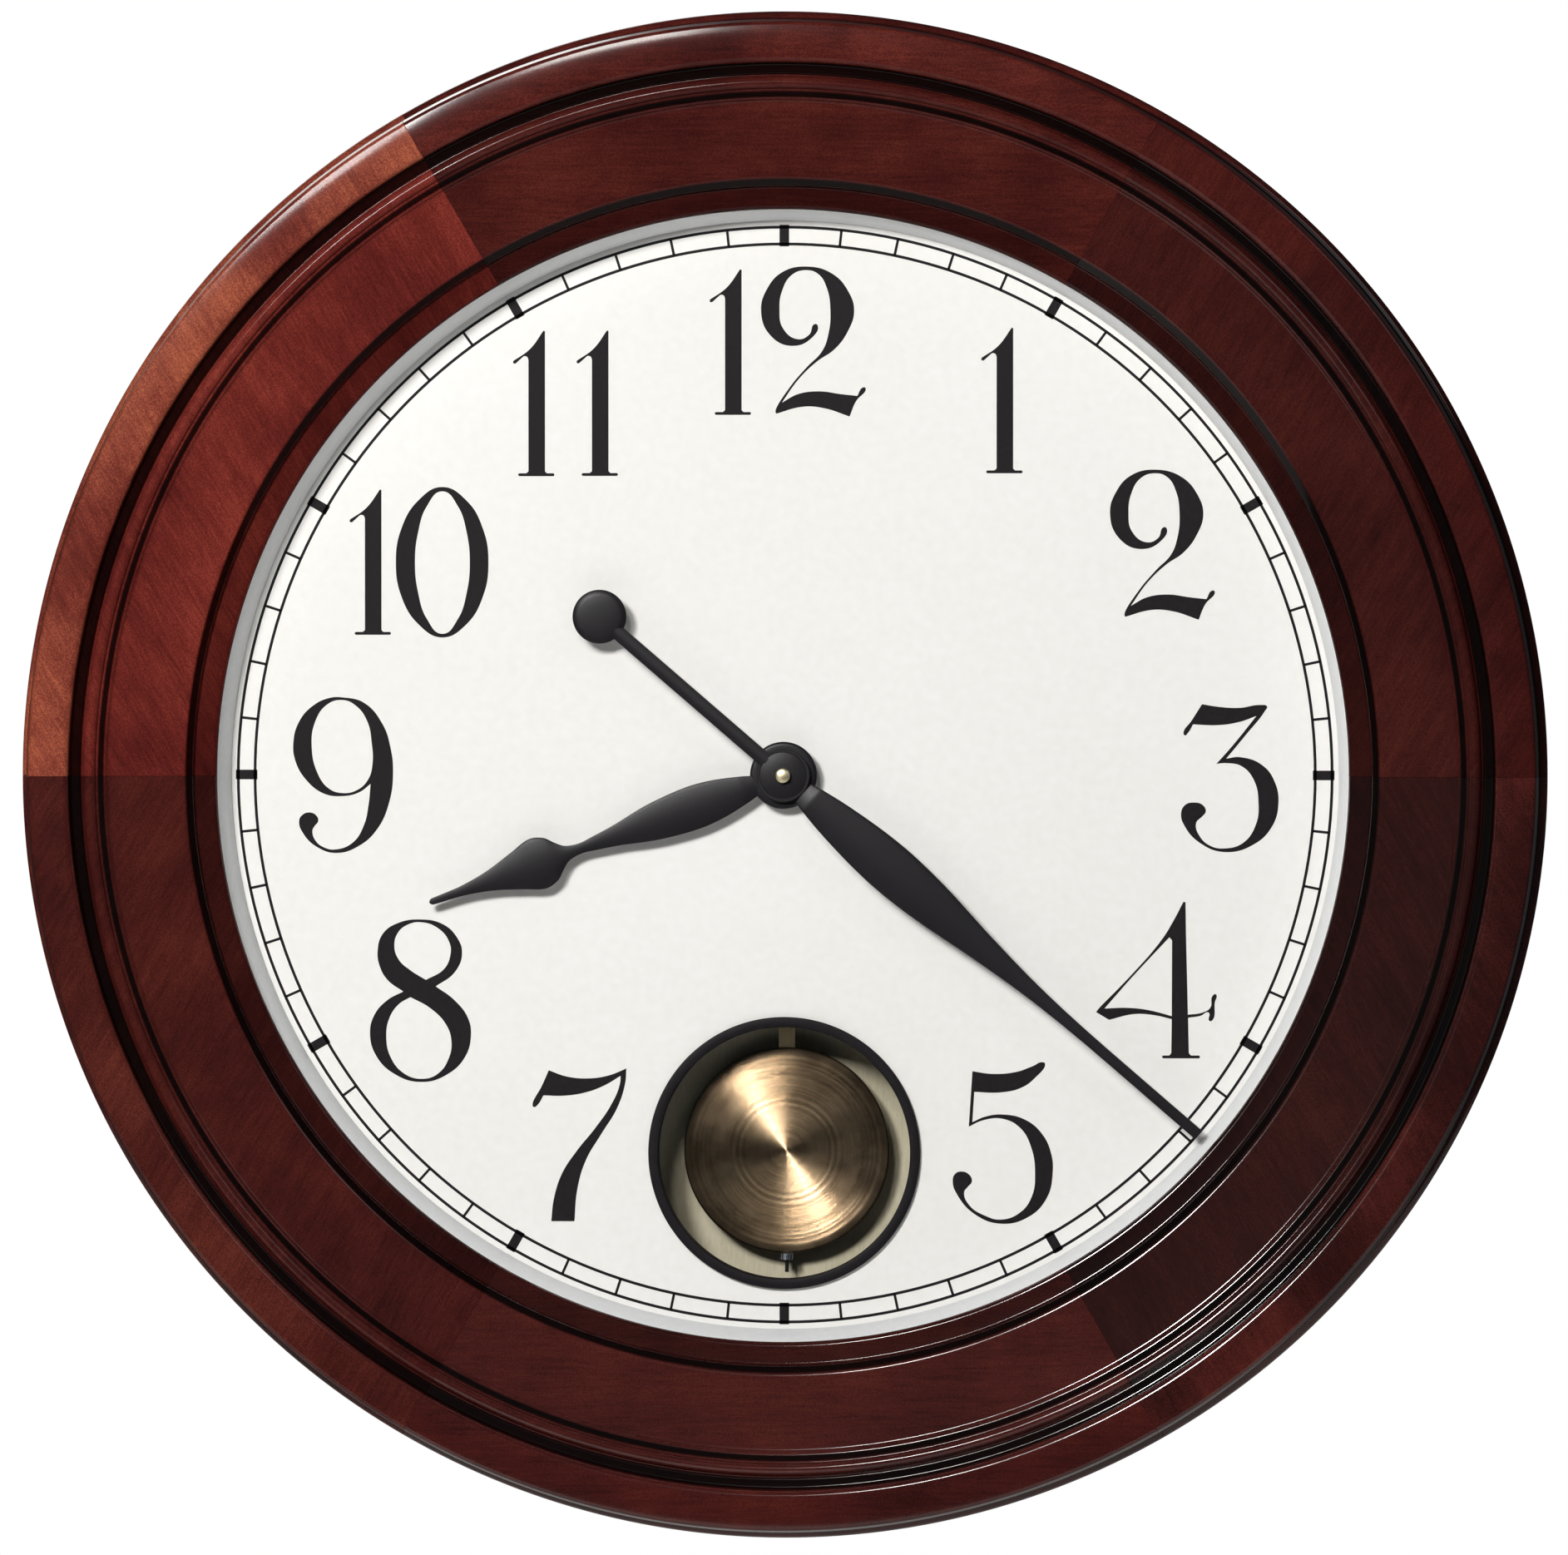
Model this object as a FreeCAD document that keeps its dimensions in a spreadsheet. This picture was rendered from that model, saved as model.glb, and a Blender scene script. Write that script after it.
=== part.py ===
import FreeCAD, Part
import math
import os
import Sketcher

# A round wall clock, 25 inches across: a turned wooden rim in six glued segments, a white dial
# with a round window for the pendulum, and a battery pendulum movement behind the dial.
#
# Row frame, millimetres: +X to the right, +Z up, +Y into the wall. The origin is the point of the
# wall plane that lies behind the axis of the hands.
# Every piece is drawn lying on its back, with x to the right, y up the dial and z the distance
# from the wall, and the placement called upright stands it up.

document = FreeCAD.newDocument("RoundWallClock")
sheet = document.addObject("Spreadsheet::Sheet", "dims")
Vector = FreeCAD.Vector

# name, value, what it is; "depth" is always the distance from the wall
sizes = [
    # wooden rim, from the glass opening outwards
    ("overcut", 1, "how far a cut starts and ends outside the piece it cuts"),
    ("segmentCount", 6, "glued segments in the rim"),
    ("rimBack", 39, "depth of the rim's back face"),
    ("rabbetRadius", 243, "recess that takes dial, liner and glass"),
    ("rabbetDepth", 63.8, "depth of the recess's shoulder"),
    ("lipRadius", 235, "opening in front of the glass"),
    ("lipDepth", 66.2, "front corner of the lip"),
    ("stepRadius", 244.4, "outer edge of the inner band"),
    ("stepLow", 68.4, "foot of the first step"),
    ("stepHigh", 70, "top of the first step"),
    ("bandInner", 248.2, "inner edge of the wide band"),
    ("bandLow", 73, "depth of the wide band's inner edge"),
    ("bandOuter", 279.7, "outer edge of the wide band"),
    ("bandHigh", 75.4, "depth of the wide band's outer edge"),
    ("filletRadius", 280.8, "inner edge of the flat beside the small bead"),
    ("filletDepth", 77.2, "depth of that flat"),
    ("beadInner", 284.6, "inner edge of the small bead"),
    ("beadOuter", 290, "outer edge of the small bead"),
    ("beadRound", 2.75, "radius of the small bead"),
    ("quirkRadius", 290.9, "wall of the quirk after the bead"),
    ("quirkDepth", 78.4, "depth of the flat before the big roll"),
    ("rollFoot", 296.6, "outer edge of that flat"),
    ("rollInner", 297, "inner edge of the big roll"),
    ("rollOuter", 312, "outer edge of the big roll"),
    ("rollDepth", 77.3, "depth of the roll's springing"),
    ("rollRound", 7.55, "radius of the big roll"),
    ("sideRadius", 313.6, "plain side of the rim"),
    ("sideDepth", 75.5, "front corner of the side"),
    ("shelfDepth", 55, "back corner of the side"),
    ("edgeBeadRadius", 315.4, "springing of the bead round the outer edge"),
    ("edgeBeadFront", 54, "front of that bead"),
    ("edgeBeadBack", 48, "back of that bead"),
    ("edgeBeadRound", 3.19, "radius of that bead"),
    ("rimFootRadius", 314, "side behind the bead"),
    ("rimFootDepth", 46.5, "front of that side"),
    # hoop behind the rim, and the back
    ("hoopOuter", 262, "outside of the hoop"),
    ("hoopInner", 250, "inside of the hoop"),
    ("hoopSeat", 257, "recess for the back panel"),
    ("panelRadius", 256.5, "back panel"),
    ("panelBack", 4, "depth of the panel's back face"),
    ("panelThick", 3, "thickness of the back panel"),
    ("panelFront", 7, "depth of the panel's front face"),
    ("accessLeft", -36, "left edge of the hand hole in the panel"),
    ("accessRight", 36, "right edge"),
    ("accessLow", -30, "lower edge"),
    ("accessHigh", 40, "upper edge"),
    ("accessCorner", 8, "corner radius"),
    ("screwCount", 8, "screws round the back panel"),
    ("screwCircle", 253.5, "circle of those screws"),
    ("screwShank", 1.2, "shank radius of the wood screws"),
    ("screwPilot", 1.3, "pilot hole radius"),
    ("screwPass", 1.6, "clearance hole radius"),
    ("screwHead", 3, "head radius"),
    ("headHeight", 1.6, "head height"),
    ("screwBite", 10, "length of screw in the wood"),
    # hanging hardware
    ("blockLeft", -45, "left end of the hanger block"),
    ("blockRight", 45, "right end"),
    ("blockLow", 212, "underside of the hanger block"),
    ("blockRound", 249.7, "its top, rounded to the hoop"),
    ("blockFront", 31, "depth of its front face"),
    ("plateLeft", -34, "left end of the hanger plate"),
    ("plateRight", 34, "right end"),
    ("plateLow", 222, "lower edge"),
    ("plateHigh", 242, "upper edge"),
    ("plateCorner", 4, "corner radius"),
    ("plateBack", 2.5, "depth of the plate's back face"),
    ("plateThick", 1.5, "plate thickness"),
    ("keyholeHeight", 229, "height of the keyhole's round"),
    ("keyholeRadius", 4.5, "round of the keyhole"),
    ("keyholeSlot", 2.25, "half width of its slot"),
    ("keyholeTop", 238, "centre of the slot's round end"),
    ("headRoomLeft", -7, "left side of the pocket for the wall screw's head"),
    ("headRoomRight", 7, "right side"),
    ("headRoomLow", 223.5, "lower side"),
    ("headRoomHigh", 243.5, "upper side"),
    ("headRoomCorner", 3, "corner radius"),
    ("headRoomDepth", 18, "depth of the pocket's floor"),
    ("plateScrewSpread", 24, "plate screws, either side of the middle"),
    ("plateScrewHeight", 232, "height of the plate screws"),
    # glass, liner and dial
    ("glassRadius", 242, "glass"),
    ("glassBack", 61, "depth of the glass's back"),
    ("glassThick", 2.5, "glass thickness"),
    ("linerOuter", 242, "outside of the liner"),
    ("linerFrontRadius", 235.5, "inside of the liner at the glass"),
    ("linerBackRadius", 230.5, "inside of the liner at the dial"),
    ("dialRadius", 242, "dial board"),
    ("dialBack", 39, "depth of the dial's back"),
    ("dialThick", 4, "dial thickness"),
    ("dialFront", 43, "depth of the dial's face"),
    ("windowHeight", -157.5, "centre of the pendulum window"),
    ("windowHole", 54, "hole in the dial board"),
    ("bezelInner", 52.5, "inside of the window's bezel"),
    ("bezelOuter", 56.7, "outside of its flange"),
    ("bezelTube", 53.7, "outside of its tube"),
    ("bezelBack", 35.5, "depth of the tube's back end"),
    ("bezelFront", 45.4, "depth of the flange's front"),
    ("bezelEase", 0.8, "chamfer of the flange's two front edges"),
    ("clipInner", 236, "inner end of a dial clip"),
    ("clipOuter", 249, "outer end of a dial clip"),
    ("clipHalf", 6, "half width of a dial clip"),
    ("clipThick", 1, "clip thickness"),
    ("clipBack", 38, "depth of the clip's back"),
    ("clipScrewCircle", 246.5, "circle of the clip screws"),
    ("clipScrewBite", 8, "length of a clip screw in the rim"),
    # movement case
    ("caseLeft", -29, "left side of the movement"),
    ("caseRight", 29, "right side"),
    ("caseLow", -84, "underside"),
    ("caseHigh", 36, "top"),
    ("caseCorner", 4, "corner radius"),
    ("caseWall", 1.5, "wall thickness"),
    ("caseBack", 14, "depth of the movement's back"),
    ("caseSplit", 26, "depth where its two halves meet"),
    ("caseFront", 38, "depth of its front"),
    ("bushRadius", 4, "threaded bushing"),
    ("bushBore", 2.65, "bore of the bushing"),
    ("bushFront", 46.5, "depth of the bushing's end"),
    ("dialBore", 4.3, "hole in dial and washers"),
    ("cushionRadius", 14, "cushion washer"),
    ("cushionThick", 1, "cushion washer thickness"),
    ("washerRadius", 8, "brass washer"),
    ("washerThick", 0.5, "brass washer thickness"),
    ("nutBack", 43.5, "depth of the hex nut's back"),
    ("nutThick", 2.4, "hex nut thickness"),
    ("nutCorner", 6.9, "hex nut, centre to corner"),
    ("nutBore", 4.05, "hex nut bore"),
    ("midLeft", -21, "left side of the middle plate"),
    ("midRight", 19.5, "right side"),
    ("midLow", -22, "lower edge"),
    ("midHigh", 17, "upper edge"),
    ("midThick", 1.2, "middle plate thickness"),
    ("midCorner", 3, "corner radius"),
    ("pillarRadius", 1.4, "pillars between the plates"),
    # battery
    ("cellRadius", 7.2, "battery"),
    ("cellLength", 49.3, "battery body"),
    ("cellNubRadius", 2.7, "battery's positive cap"),
    ("cellNubLength", 1.2, "length of that cap"),
    ("cellHeight", 26, "height of the battery"),
    ("cellDepth", 22.9, "depth of its axis"),
    ("bayHalf", 27.3, "half length of the battery bay"),
    ("bayLow", 18.3, "lower side of the bay"),
    ("bayHigh", 33.7, "upper side of the bay"),
    ("contactThick", 0.5, "battery contact thickness"),
    ("contactHalf", 5, "half width of a contact"),
    ("coneRadius", 3.4, "negative contact's spring, wide end"),
    # gear train
    ("trainModule", 0.3, "tooth module, centre wheel and third pinion"),
    ("fifthModule", 0.25, "tooth module, seconds wheel and fifth pinion"),
    ("rotorModule", 0.2, "tooth module, fifth wheel and rotor pinion"),
    ("motionModule", 0.4, "tooth module, cannon pinion and motion wheel"),
    ("centreTeeth", 60, "centre wheel"),
    ("thirdPinionTeeth", 8, "third pinion"),
    ("thirdTeeth", 64, "third wheel"),
    ("secondsPinionTeeth", 8, "seconds pinion"),
    ("secondsTeeth", 60, "seconds wheel"),
    ("fifthPinionTeeth", 10, "fifth pinion"),
    ("fifthTeeth", 60, "fifth wheel"),
    ("rotorPinionTeeth", 12, "rotor pinion"),
    ("cannonTeeth", 12, "cannon pinion"),
    ("motionTeeth", 36, "motion wheel"),
    ("motionPinionTeeth", 10, "motion pinion"),
    ("hourTeeth", 40, "hour wheel"),
    ("knobPinionTeeth", 12, "set knob's pinion"),
    ("toothAbove", 0.85, "tooth height above the pitch circle, in modules"),
    ("toothBelow", 1.2, "tooth depth below it, in modules"),
    ("toothRootShare", 0.5, "tooth width at the root, as a share of the pitch"),
    ("toothTipShare", 0.16, "tooth width at the tip, as a share of the pitch"),
    ("thirdDegrees", 200, "direction of the third arbor from the centre"),
    ("fifthDegrees", 60, "direction of the fifth arbor from the centre"),
    ("rotorDegrees", 0, "direction of the rotor from the fifth arbor"),
    ("motionDegrees", -60, "direction of the motion post from the centre"),
    ("knobDegrees", -90, "direction of the set knob from the motion post"),
    ("arborRadius", 0.5, "thin arbors"),
    ("secondsArbor", 0.6, "seconds arbor"),
    ("rotorArbor", 0.4, "rotor arbor"),
    ("pivotPlay", 0.05, "radial play of an arbor in its hole"),
    ("arborBack", 14.6, "depth of the arbors' back ends"),
    ("fifthBack", 17.5, "depth of the fifth wheel"),
    ("secondsBack", 20, "depth of the seconds wheel"),
    ("thirdBack", 23, "depth of the third wheel"),
    ("wheelThick", 1, "wheel thickness"),
    ("pinionThick", 2, "pinion thickness"),
    ("pinionLead", 0.5, "how far a pinion stands out each side of its mate"),
    ("centreBack", 28, "depth of the centre wheel"),
    ("cannonBack", 30, "depth of the cannon pinion"),
    ("motionBack", 30.5, "depth of the motion wheel"),
    ("hourBack", 33, "depth of the hour wheel"),
    ("motionPinionFront", 35, "depth of the motion pinion's end"),
    ("minuteTube", 1.75, "outside of the minute arbor"),
    ("minuteBore", 0.66, "bore of the minute arbor"),
    ("minuteFront", 56, "depth of the minute arbor's end"),
    ("secondsFront", 52, "depth of the seconds arbor's end"),
    ("hourTube", 2.6, "outside of the hour pipe"),
    ("hourBore", 1.82, "bore of the hour pipe"),
    ("hourFront", 51.4, "depth of the hour pipe's end"),
    ("motionPost", 0.8, "motion post"),
    ("knobShaft", 1, "set knob's shaft"),
    ("knobRadius", 7, "set knob"),
    ("knobBack", 8, "depth of the knob's face"),
    ("knobFront", 12.6, "depth of its underside"),
    ("knobFlutes", 18, "flutes round the knob"),
    ("knobFluteRadius", 0.7, "radius of a flute"),
    ("shaftFront", 33, "depth of the knob shaft's end"),
    # stepping motor
    ("rotorRadius", 3, "rotor magnet"),
    ("rotorBack", 20.5, "depth of the magnet"),
    ("rotorThick", 3, "magnet thickness"),
    ("statorHole", 3.4, "stator's hole round the rotor"),
    ("statorBack", 21.5, "depth of the stator"),
    ("statorLeft", 6.8, "left end of the stator"),
    ("statorNeck", 13, "left side of its legs"),
    ("statorInner", 17, "right side of its pole piece"),
    ("statorRight", 25.5, "right side of its core"),
    ("coreLeft", 22.5, "left side of its core"),
    ("statorLow", -3.5, "lower edge of the lower leg"),
    ("legLow", -0.5, "upper edge of the lower leg"),
    ("poleLow", 3.4, "lower edge of the pole piece"),
    ("poleHigh", 11.8, "upper edge of the pole piece"),
    ("legHigh", 14.5, "lower edge of the upper leg"),
    ("statorHigh", 17.5, "upper edge of the upper leg"),
    ("bobbinRadius", 3.1, "coil bobbin's flanges"),
    ("bobbinFlange", 0.8, "flange thickness"),
    ("bobbinTube", 2, "bobbin's tube"),
    ("windingRadius", 2.9, "outside of the winding"),
    ("coreRoom", 0.1, "play of the core in the bobbin"),
    # board and pendulum drive
    ("boardHalf", 24, "half width of the circuit board"),
    ("boardLow", -80, "lower edge"),
    ("boardHigh", -26, "upper edge"),
    ("boardBack", 30, "depth of the board"),
    ("boardThick", 1.2, "board thickness"),
    ("driveHeight", -66, "height of the drive coil and magnet"),
    ("driveRadius", 7, "drive coil"),
    ("driveBore", 2, "drive coil's bore"),
    ("driveBack", 24, "depth of the drive coil's face"),
    ("magnetRadius", 5, "pendulum magnet"),
    ("magnetThick", 3, "magnet thickness"),
    ("chipHalf", 3, "half width of the timing chip"),
    ("chipThick", 1.2, "chip thickness"),
    ("chipLeft", -18, "left side of the chip"),
    ("chipLow", -48, "lower edge of the chip"),
    ("crystalRadius", 1.5, "quartz crystal's can"),
    ("crystalLength", 8, "length of the can"),
    ("crystalLeft", 8, "left end of the can"),
    ("crystalHeight", -44, "height of the can"),
    # pendulum
    ("pivotHeight", -34, "height of the pendulum's pivot"),
    ("pivotRadius", 1.5, "pivot pin"),
    ("pivotBack", 14.2, "depth of the pin's back end"),
    ("pivotFront", 23, "depth of the pin's front end"),
    ("pivotHole", 1.52, "pin's hole in the case"),
    ("hangerBore", 1.56, "bore of the hanger's eye"),
    ("hangerEye", 3.5, "hanger's eye"),
    ("hangerHalf", 3, "half width of the hanger"),
    ("hangerBack", 16.4, "depth of the hanger's back"),
    ("hangerThick", 3, "hanger thickness"),
    ("hangerLow", -92, "lower end of the hanger"),
    ("hangerSlotHigh", -83, "top of the slot that takes the rod"),
    ("hangerSlotBack", 17.3, "depth of that slot"),
    ("hangerSlotFront", 18.5, "front of that slot"),
    ("slitHalf", 9, "half width of the slot in the case's underside"),
    ("slitBack", 15.5, "back of that slot"),
    ("slitFront", 21, "front of that slot"),
    ("rodHalf", 3.4, "half width of the rod"),
    ("rodBack", 17.4, "depth of the rod's back"),
    ("rodThick", 1, "rod thickness"),
    ("rodHigh", -84, "top of the rod"),
    ("rodLow", -198, "bottom of the rod"),
    ("bobRadius", 43, "pendulum bob"),
    ("bobWall", 0.7, "wall of the bob's spun face"),
    ("bobBack", 14.3, "depth of the bob's back edge"),
    ("bobShoulder", 19.4, "depth of the shoulder of its face"),
    ("bobCrown", 21.2, "depth of the middle of its face"),
    ("bobNotch", 3.7, "half width of the notch for the rod"),
    ("notchPlay", 0.4, "room for the rod before and behind it in the notch"),
    ("backingRadius", 42.1, "disc in the back of the bob"),
    ("backingThick", 2, "thickness of that disc"),
    ("screwRadius", 0.8, "rating screw"),
    ("screwLow", -208.5, "lower end of the rating screw"),
    ("ratingRadius", 2.6, "rating nut"),
    ("ratingBore", 0.85, "bore of the rating nut"),
    ("ratingHigh", -200.7, "top of the rating nut"),
    ("ratingTall", 2.6, "height of the rating nut"),
    ("ratingFlutes", 12, "flutes round the rating nut"),
    ("ratingFluteRadius", 0.35, "radius of a flute"),
    # hands
    ("hourDegrees", 250.2, "hour hand, clockwise from twelve"),
    ("hourBackFace", 50, "depth of the hour hand"),
    ("handThick", 0.8, "hand thickness"),
    ("hourHub", 13.95, "hour hand's hub"),
    ("hourEye", 3.3, "hole in the hour hand"),
    ("collarBack", 47.5, "depth of the hour collet's foot"),
    ("collarBore", 2.62, "bore of the hour collet"),
    ("collarRadius", 3.28, "collet through the hour hand"),
    ("collarFlange", 5, "collet's flange behind the hour hand"),
    ("minuteDegrees", 130.8, "minute hand, clockwise from twelve"),
    ("minuteBackFace", 54, "depth of the minute hand"),
    ("minuteHub", 11.05, "minute hand's hub"),
    ("minuteLength", 228.3, "axis to the minute hand's square tip"),
    ("minuteEye", 1.8, "hole in the minute hand"),
    ("spacerBack", 52.4, "depth of the minute bush"),
    ("spacerRadius", 4, "minute bush"),
    ("capRadius", 3.1, "cap nut"),
    ("capFront", 57.4, "depth where the cap nut's dome starts"),
    ("capTop", 58.6, "depth of the cap nut's top"),
    ("capEase", 1.2, "how much its top is narrower than the nut"),
    ("capPlay", 0.2, "room between the cap nut and the end of the minute arbor"),
    ("tailHalf", 3, "half width of the minute hand's tail"),
    ("tailCentre", -101, "centre of the tail's disc"),
    ("tailRadius", 11.2, "radius of the tail's disc"),
]

# half width of each hand at distances from its axis
minuteStations = [
    (9, 4.6),
    (28, 8.05),
    (46, 9.9),
    (62, 10.4),
    (82, 9.2),
    (106, 6.3),
    (130, 3.9),
    (150, 2.75),
    (172, 2.3),
]
hourLeafStations = [(9, 3.2), (18, 5.85), (30, 8.35), (41, 9.1), (58, 7.65), (74, 4.4), (90, 2.2)]
hourSpadeStations = [
    (90, 2.2),
    (96, 3.3),
    (103, 9.3),
    (109, 10.9),
    (118, 8.05),
    (130, 4.3),
    (142, 2.15),
    (155.4, 1.5),
]

for row, (alias, value, meaning) in enumerate(sizes, start=1):
    sheet.set(f"A{row}", alias)
    sheet.set(f"B{row}", str(value))
    sheet.set(f"C{row}", meaning)
    sheet.setAlias(f"B{row}", alias)
sheet.recompute()

upright = FreeCAD.Placement(Vector(0, 0, 0), FreeCAD.Rotation(Vector(1, 0, 0), 90))
subParts = []


def size(alias):
    return float(sheet.get(alias))


beyond = size("overcut")


def bound(expression):
    # "caseFront - caseWall" becomes "dims.caseFront - dims.caseWall"
    words = expression.split()
    return " ".join("dims." + word if word.isalpha() else word for word in words)


def worth(expression):
    return float(sheet.evalExpression(bound(expression)))


def subPart(item, label, placement=upright):
    item.Label = label
    item.Placement = placement
    subParts.append(item)


# ---- sketches and features ----


def newBody(label):
    body = document.addObject("PartDesign::Body", label)
    return body


def newSketch(body, name, role, depth):
    plane = next(item for item in body.Origin.OriginFeatures if item.Role == role)
    sketch = body.newObject("Sketcher::SketchObject", name)
    sketch.AttachmentSupport = (plane, [""])
    sketch.MapMode = "FlatFace"
    sketch.setExpression("AttachmentOffset.Base.z", bound(depth))
    return sketch


def pinPoint(sketch, index, corner, across, along):
    # holds a point at named distances from the sketch's origin
    for kind, axis, text in (("DistanceX", -2, across), ("DistanceY", -1, along)):
        if text == "0":
            sketch.addConstraint(Sketcher.Constraint("PointOnObject", index, corner, axis))
            continue
        number = sketch.addConstraint(
            Sketcher.Constraint(kind, -1, 1, index, corner, worth(text))
        )
        sketch.setExpression(f"Constraints[{number}]", bound(text))


def addCircle(sketch, across, along, radius):
    centre = Vector(worth(across), worth(along), 0)
    index = sketch.addGeometry(Part.Circle(centre, Vector(0, 0, 1), worth(radius)), False)
    number = sketch.addConstraint(Sketcher.Constraint("Radius", index, worth(radius)))
    sketch.setExpression(f"Constraints[{number}]", bound(radius))
    pinPoint(sketch, index, 3, across, along)


def bulged(start, end, radius):
    # arc from start to end that bulges to the right of the way it goes
    chord = end - start
    rise = radius - math.sqrt(max(radius**2 - chord.Length**2 / 4, 0))
    side = Vector(chord.y, -chord.x, 0).normalize()
    return Part.Arc(start, (start + end) * 0.5 + side * rise, end)


def addOutline(sketch, points):
    # points are (across, along), or (across, along, radius) where an arc leads to the next point
    spots = [Vector(worth(point[0]), worth(point[1]), 0) for point in points]
    ends = []
    for number, point in enumerate(points):
        start = spots[number]
        end = spots[(number + 1) % len(points)]
        isArc = len(point) == 3
        line = bulged(start, end, worth(point[2])) if isArc else Part.LineSegment(start, end)
        index = sketch.addGeometry(line, False)
        forward = sketch.getPoint(index, 1).distanceToPoint(start) < 0.001
        ends.append((index, 1, 2) if forward else (index, 2, 1))
    for number, (index, head, tail) in enumerate(ends):
        after = ends[(number + 1) % len(ends)]
        sketch.addConstraint(Sketcher.Constraint("Coincident", index, tail, after[0], after[1]))
        pinPoint(sketch, index, head, points[number][0], points[number][1])
        if len(points[number]) == 3:
            radius = points[number][2]
            held = sketch.addConstraint(Sketcher.Constraint("Radius", index, worth(radius)))
            sketch.setExpression(f"Constraints[{held}]", bound(radius))


def roundedBox(left, right, low, high, corner):
    return [
        (f"{left} + {corner}", low),
        (f"{right} - ( {corner} )", low, corner),
        (right, f"{low} + {corner}"),
        (right, f"{high} - ( {corner} )", corner),
        (f"{right} - ( {corner} )", high),
        (f"{left} + {corner}", high, corner),
        (left, f"{high} - ( {corner} )"),
        (left, f"{low} + {corner}", corner),
    ]


def squareBox(left, right, low, high):
    return [(left, low), (right, low), (right, high), (left, high)]


def drawAll(sketch, shapes):
    # a shape is an outline, or a circle given as three texts
    for shape in shapes:
        if isinstance(shape, tuple):
            addCircle(sketch, *shape)
        else:
            addOutline(sketch, shape)


def pad(body, name, depth, height, shapes):
    sketch = newSketch(body, name + "Sketch", "XY_Plane", depth)
    drawAll(sketch, shapes)
    feature = body.newObject("PartDesign::Pad", name)
    feature.Profile = sketch
    feature.setExpression("Length", bound(height))
    return feature


def pocket(body, name, top, height, shapes):
    # cuts from the depth called top back towards the wall
    sketch = newSketch(body, name + "Sketch", "XY_Plane", top)
    drawAll(sketch, shapes)
    feature = body.newObject("PartDesign::Pocket", name)
    feature.Profile = sketch
    feature.setExpression("Length", bound(height))
    return feature


def polarPattern(body, feature, count):
    pattern = body.newObject("PartDesign::PolarPattern", feature.Name + "Pattern")
    pattern.Originals = [feature]
    pattern.Axis = (feature.Profile[0], ["N_Axis"])
    pattern.Angle = 360
    pattern.setExpression("Occurrences", bound(count))
    body.Tip = pattern


def turned(body, name, points, degrees=360):
    # points are (radius, depth); the piece is turned about the axis through the wall
    sketch = newSketch(body, name + "Sketch", "XZ_Plane", "0")
    addOutline(sketch, points)
    feature = body.newObject("PartDesign::Revolution", name)
    feature.Profile = sketch
    feature.ReferenceAxis = (sketch, ["V_Axis"])
    feature.Angle = degrees
    return feature


def turnedPart(label, points, placement=upright):
    body = newBody(label)
    turned(body, label + "Turning", points)
    subPart(body, label, placement)
    return body


def platePart(label, depth, height, shapes):
    body = newBody(label)
    pad(body, label + "Plate", depth, height, shapes)
    subPart(body, label)
    return body


# ---- primitives ----


def cylinder(name, radius, height, across="0", along="0", depth="0"):
    item = document.addObject("Part::Cylinder", name)
    item.setExpression("Radius", bound(radius))
    item.setExpression("Height", bound(height))
    item.setExpression("Placement.Base.x", bound(across))
    item.setExpression("Placement.Base.y", bound(along))
    item.setExpression("Placement.Base.z", bound(depth))
    return item


def joined(name, items):
    item = document.addObject("Part::MultiFuse", name)
    item.Shapes = items
    return item


def cutAway(name, base, tool):
    item = document.addObject("Part::Cut", name)
    item.Base = base
    item.Tool = tool
    return item


def grouped(name, items):
    # separate solids that share one node
    item = document.addObject("Part::Compound", name)
    item.Links = items
    return item


def shaped(label, shape, placement=upright):
    item = document.addObject("Part::Feature", label)
    item.Shape = shape
    subPart(item, label, placement)


# ---- wooden case ----


def rimOutline():
    return [
        ("rabbetRadius", "rimBack"),
        ("rimFootRadius", "rimBack"),
        ("rimFootRadius", "rimFootDepth"),
        ("edgeBeadRadius", "edgeBeadBack", "edgeBeadRound"),
        ("edgeBeadRadius", "edgeBeadFront"),
        ("sideRadius", "shelfDepth"),
        ("sideRadius", "sideDepth"),
        ("rollOuter", "rollDepth", "rollRound"),
        ("rollInner", "rollDepth"),
        ("rollFoot", "quirkDepth"),
        ("quirkRadius", "quirkDepth"),
        ("beadOuter", "filletDepth", "beadRound"),
        ("beadInner", "filletDepth"),
        ("filletRadius", "filletDepth"),
        ("bandOuter", "bandHigh"),
        ("bandInner", "bandLow"),
        ("stepRadius", "stepHigh"),
        ("stepRadius", "stepLow"),
        ("lipRadius", "lipDepth"),
        ("lipRadius", "rabbetDepth"),
        ("rabbetRadius", "rabbetDepth"),
    ]


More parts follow.
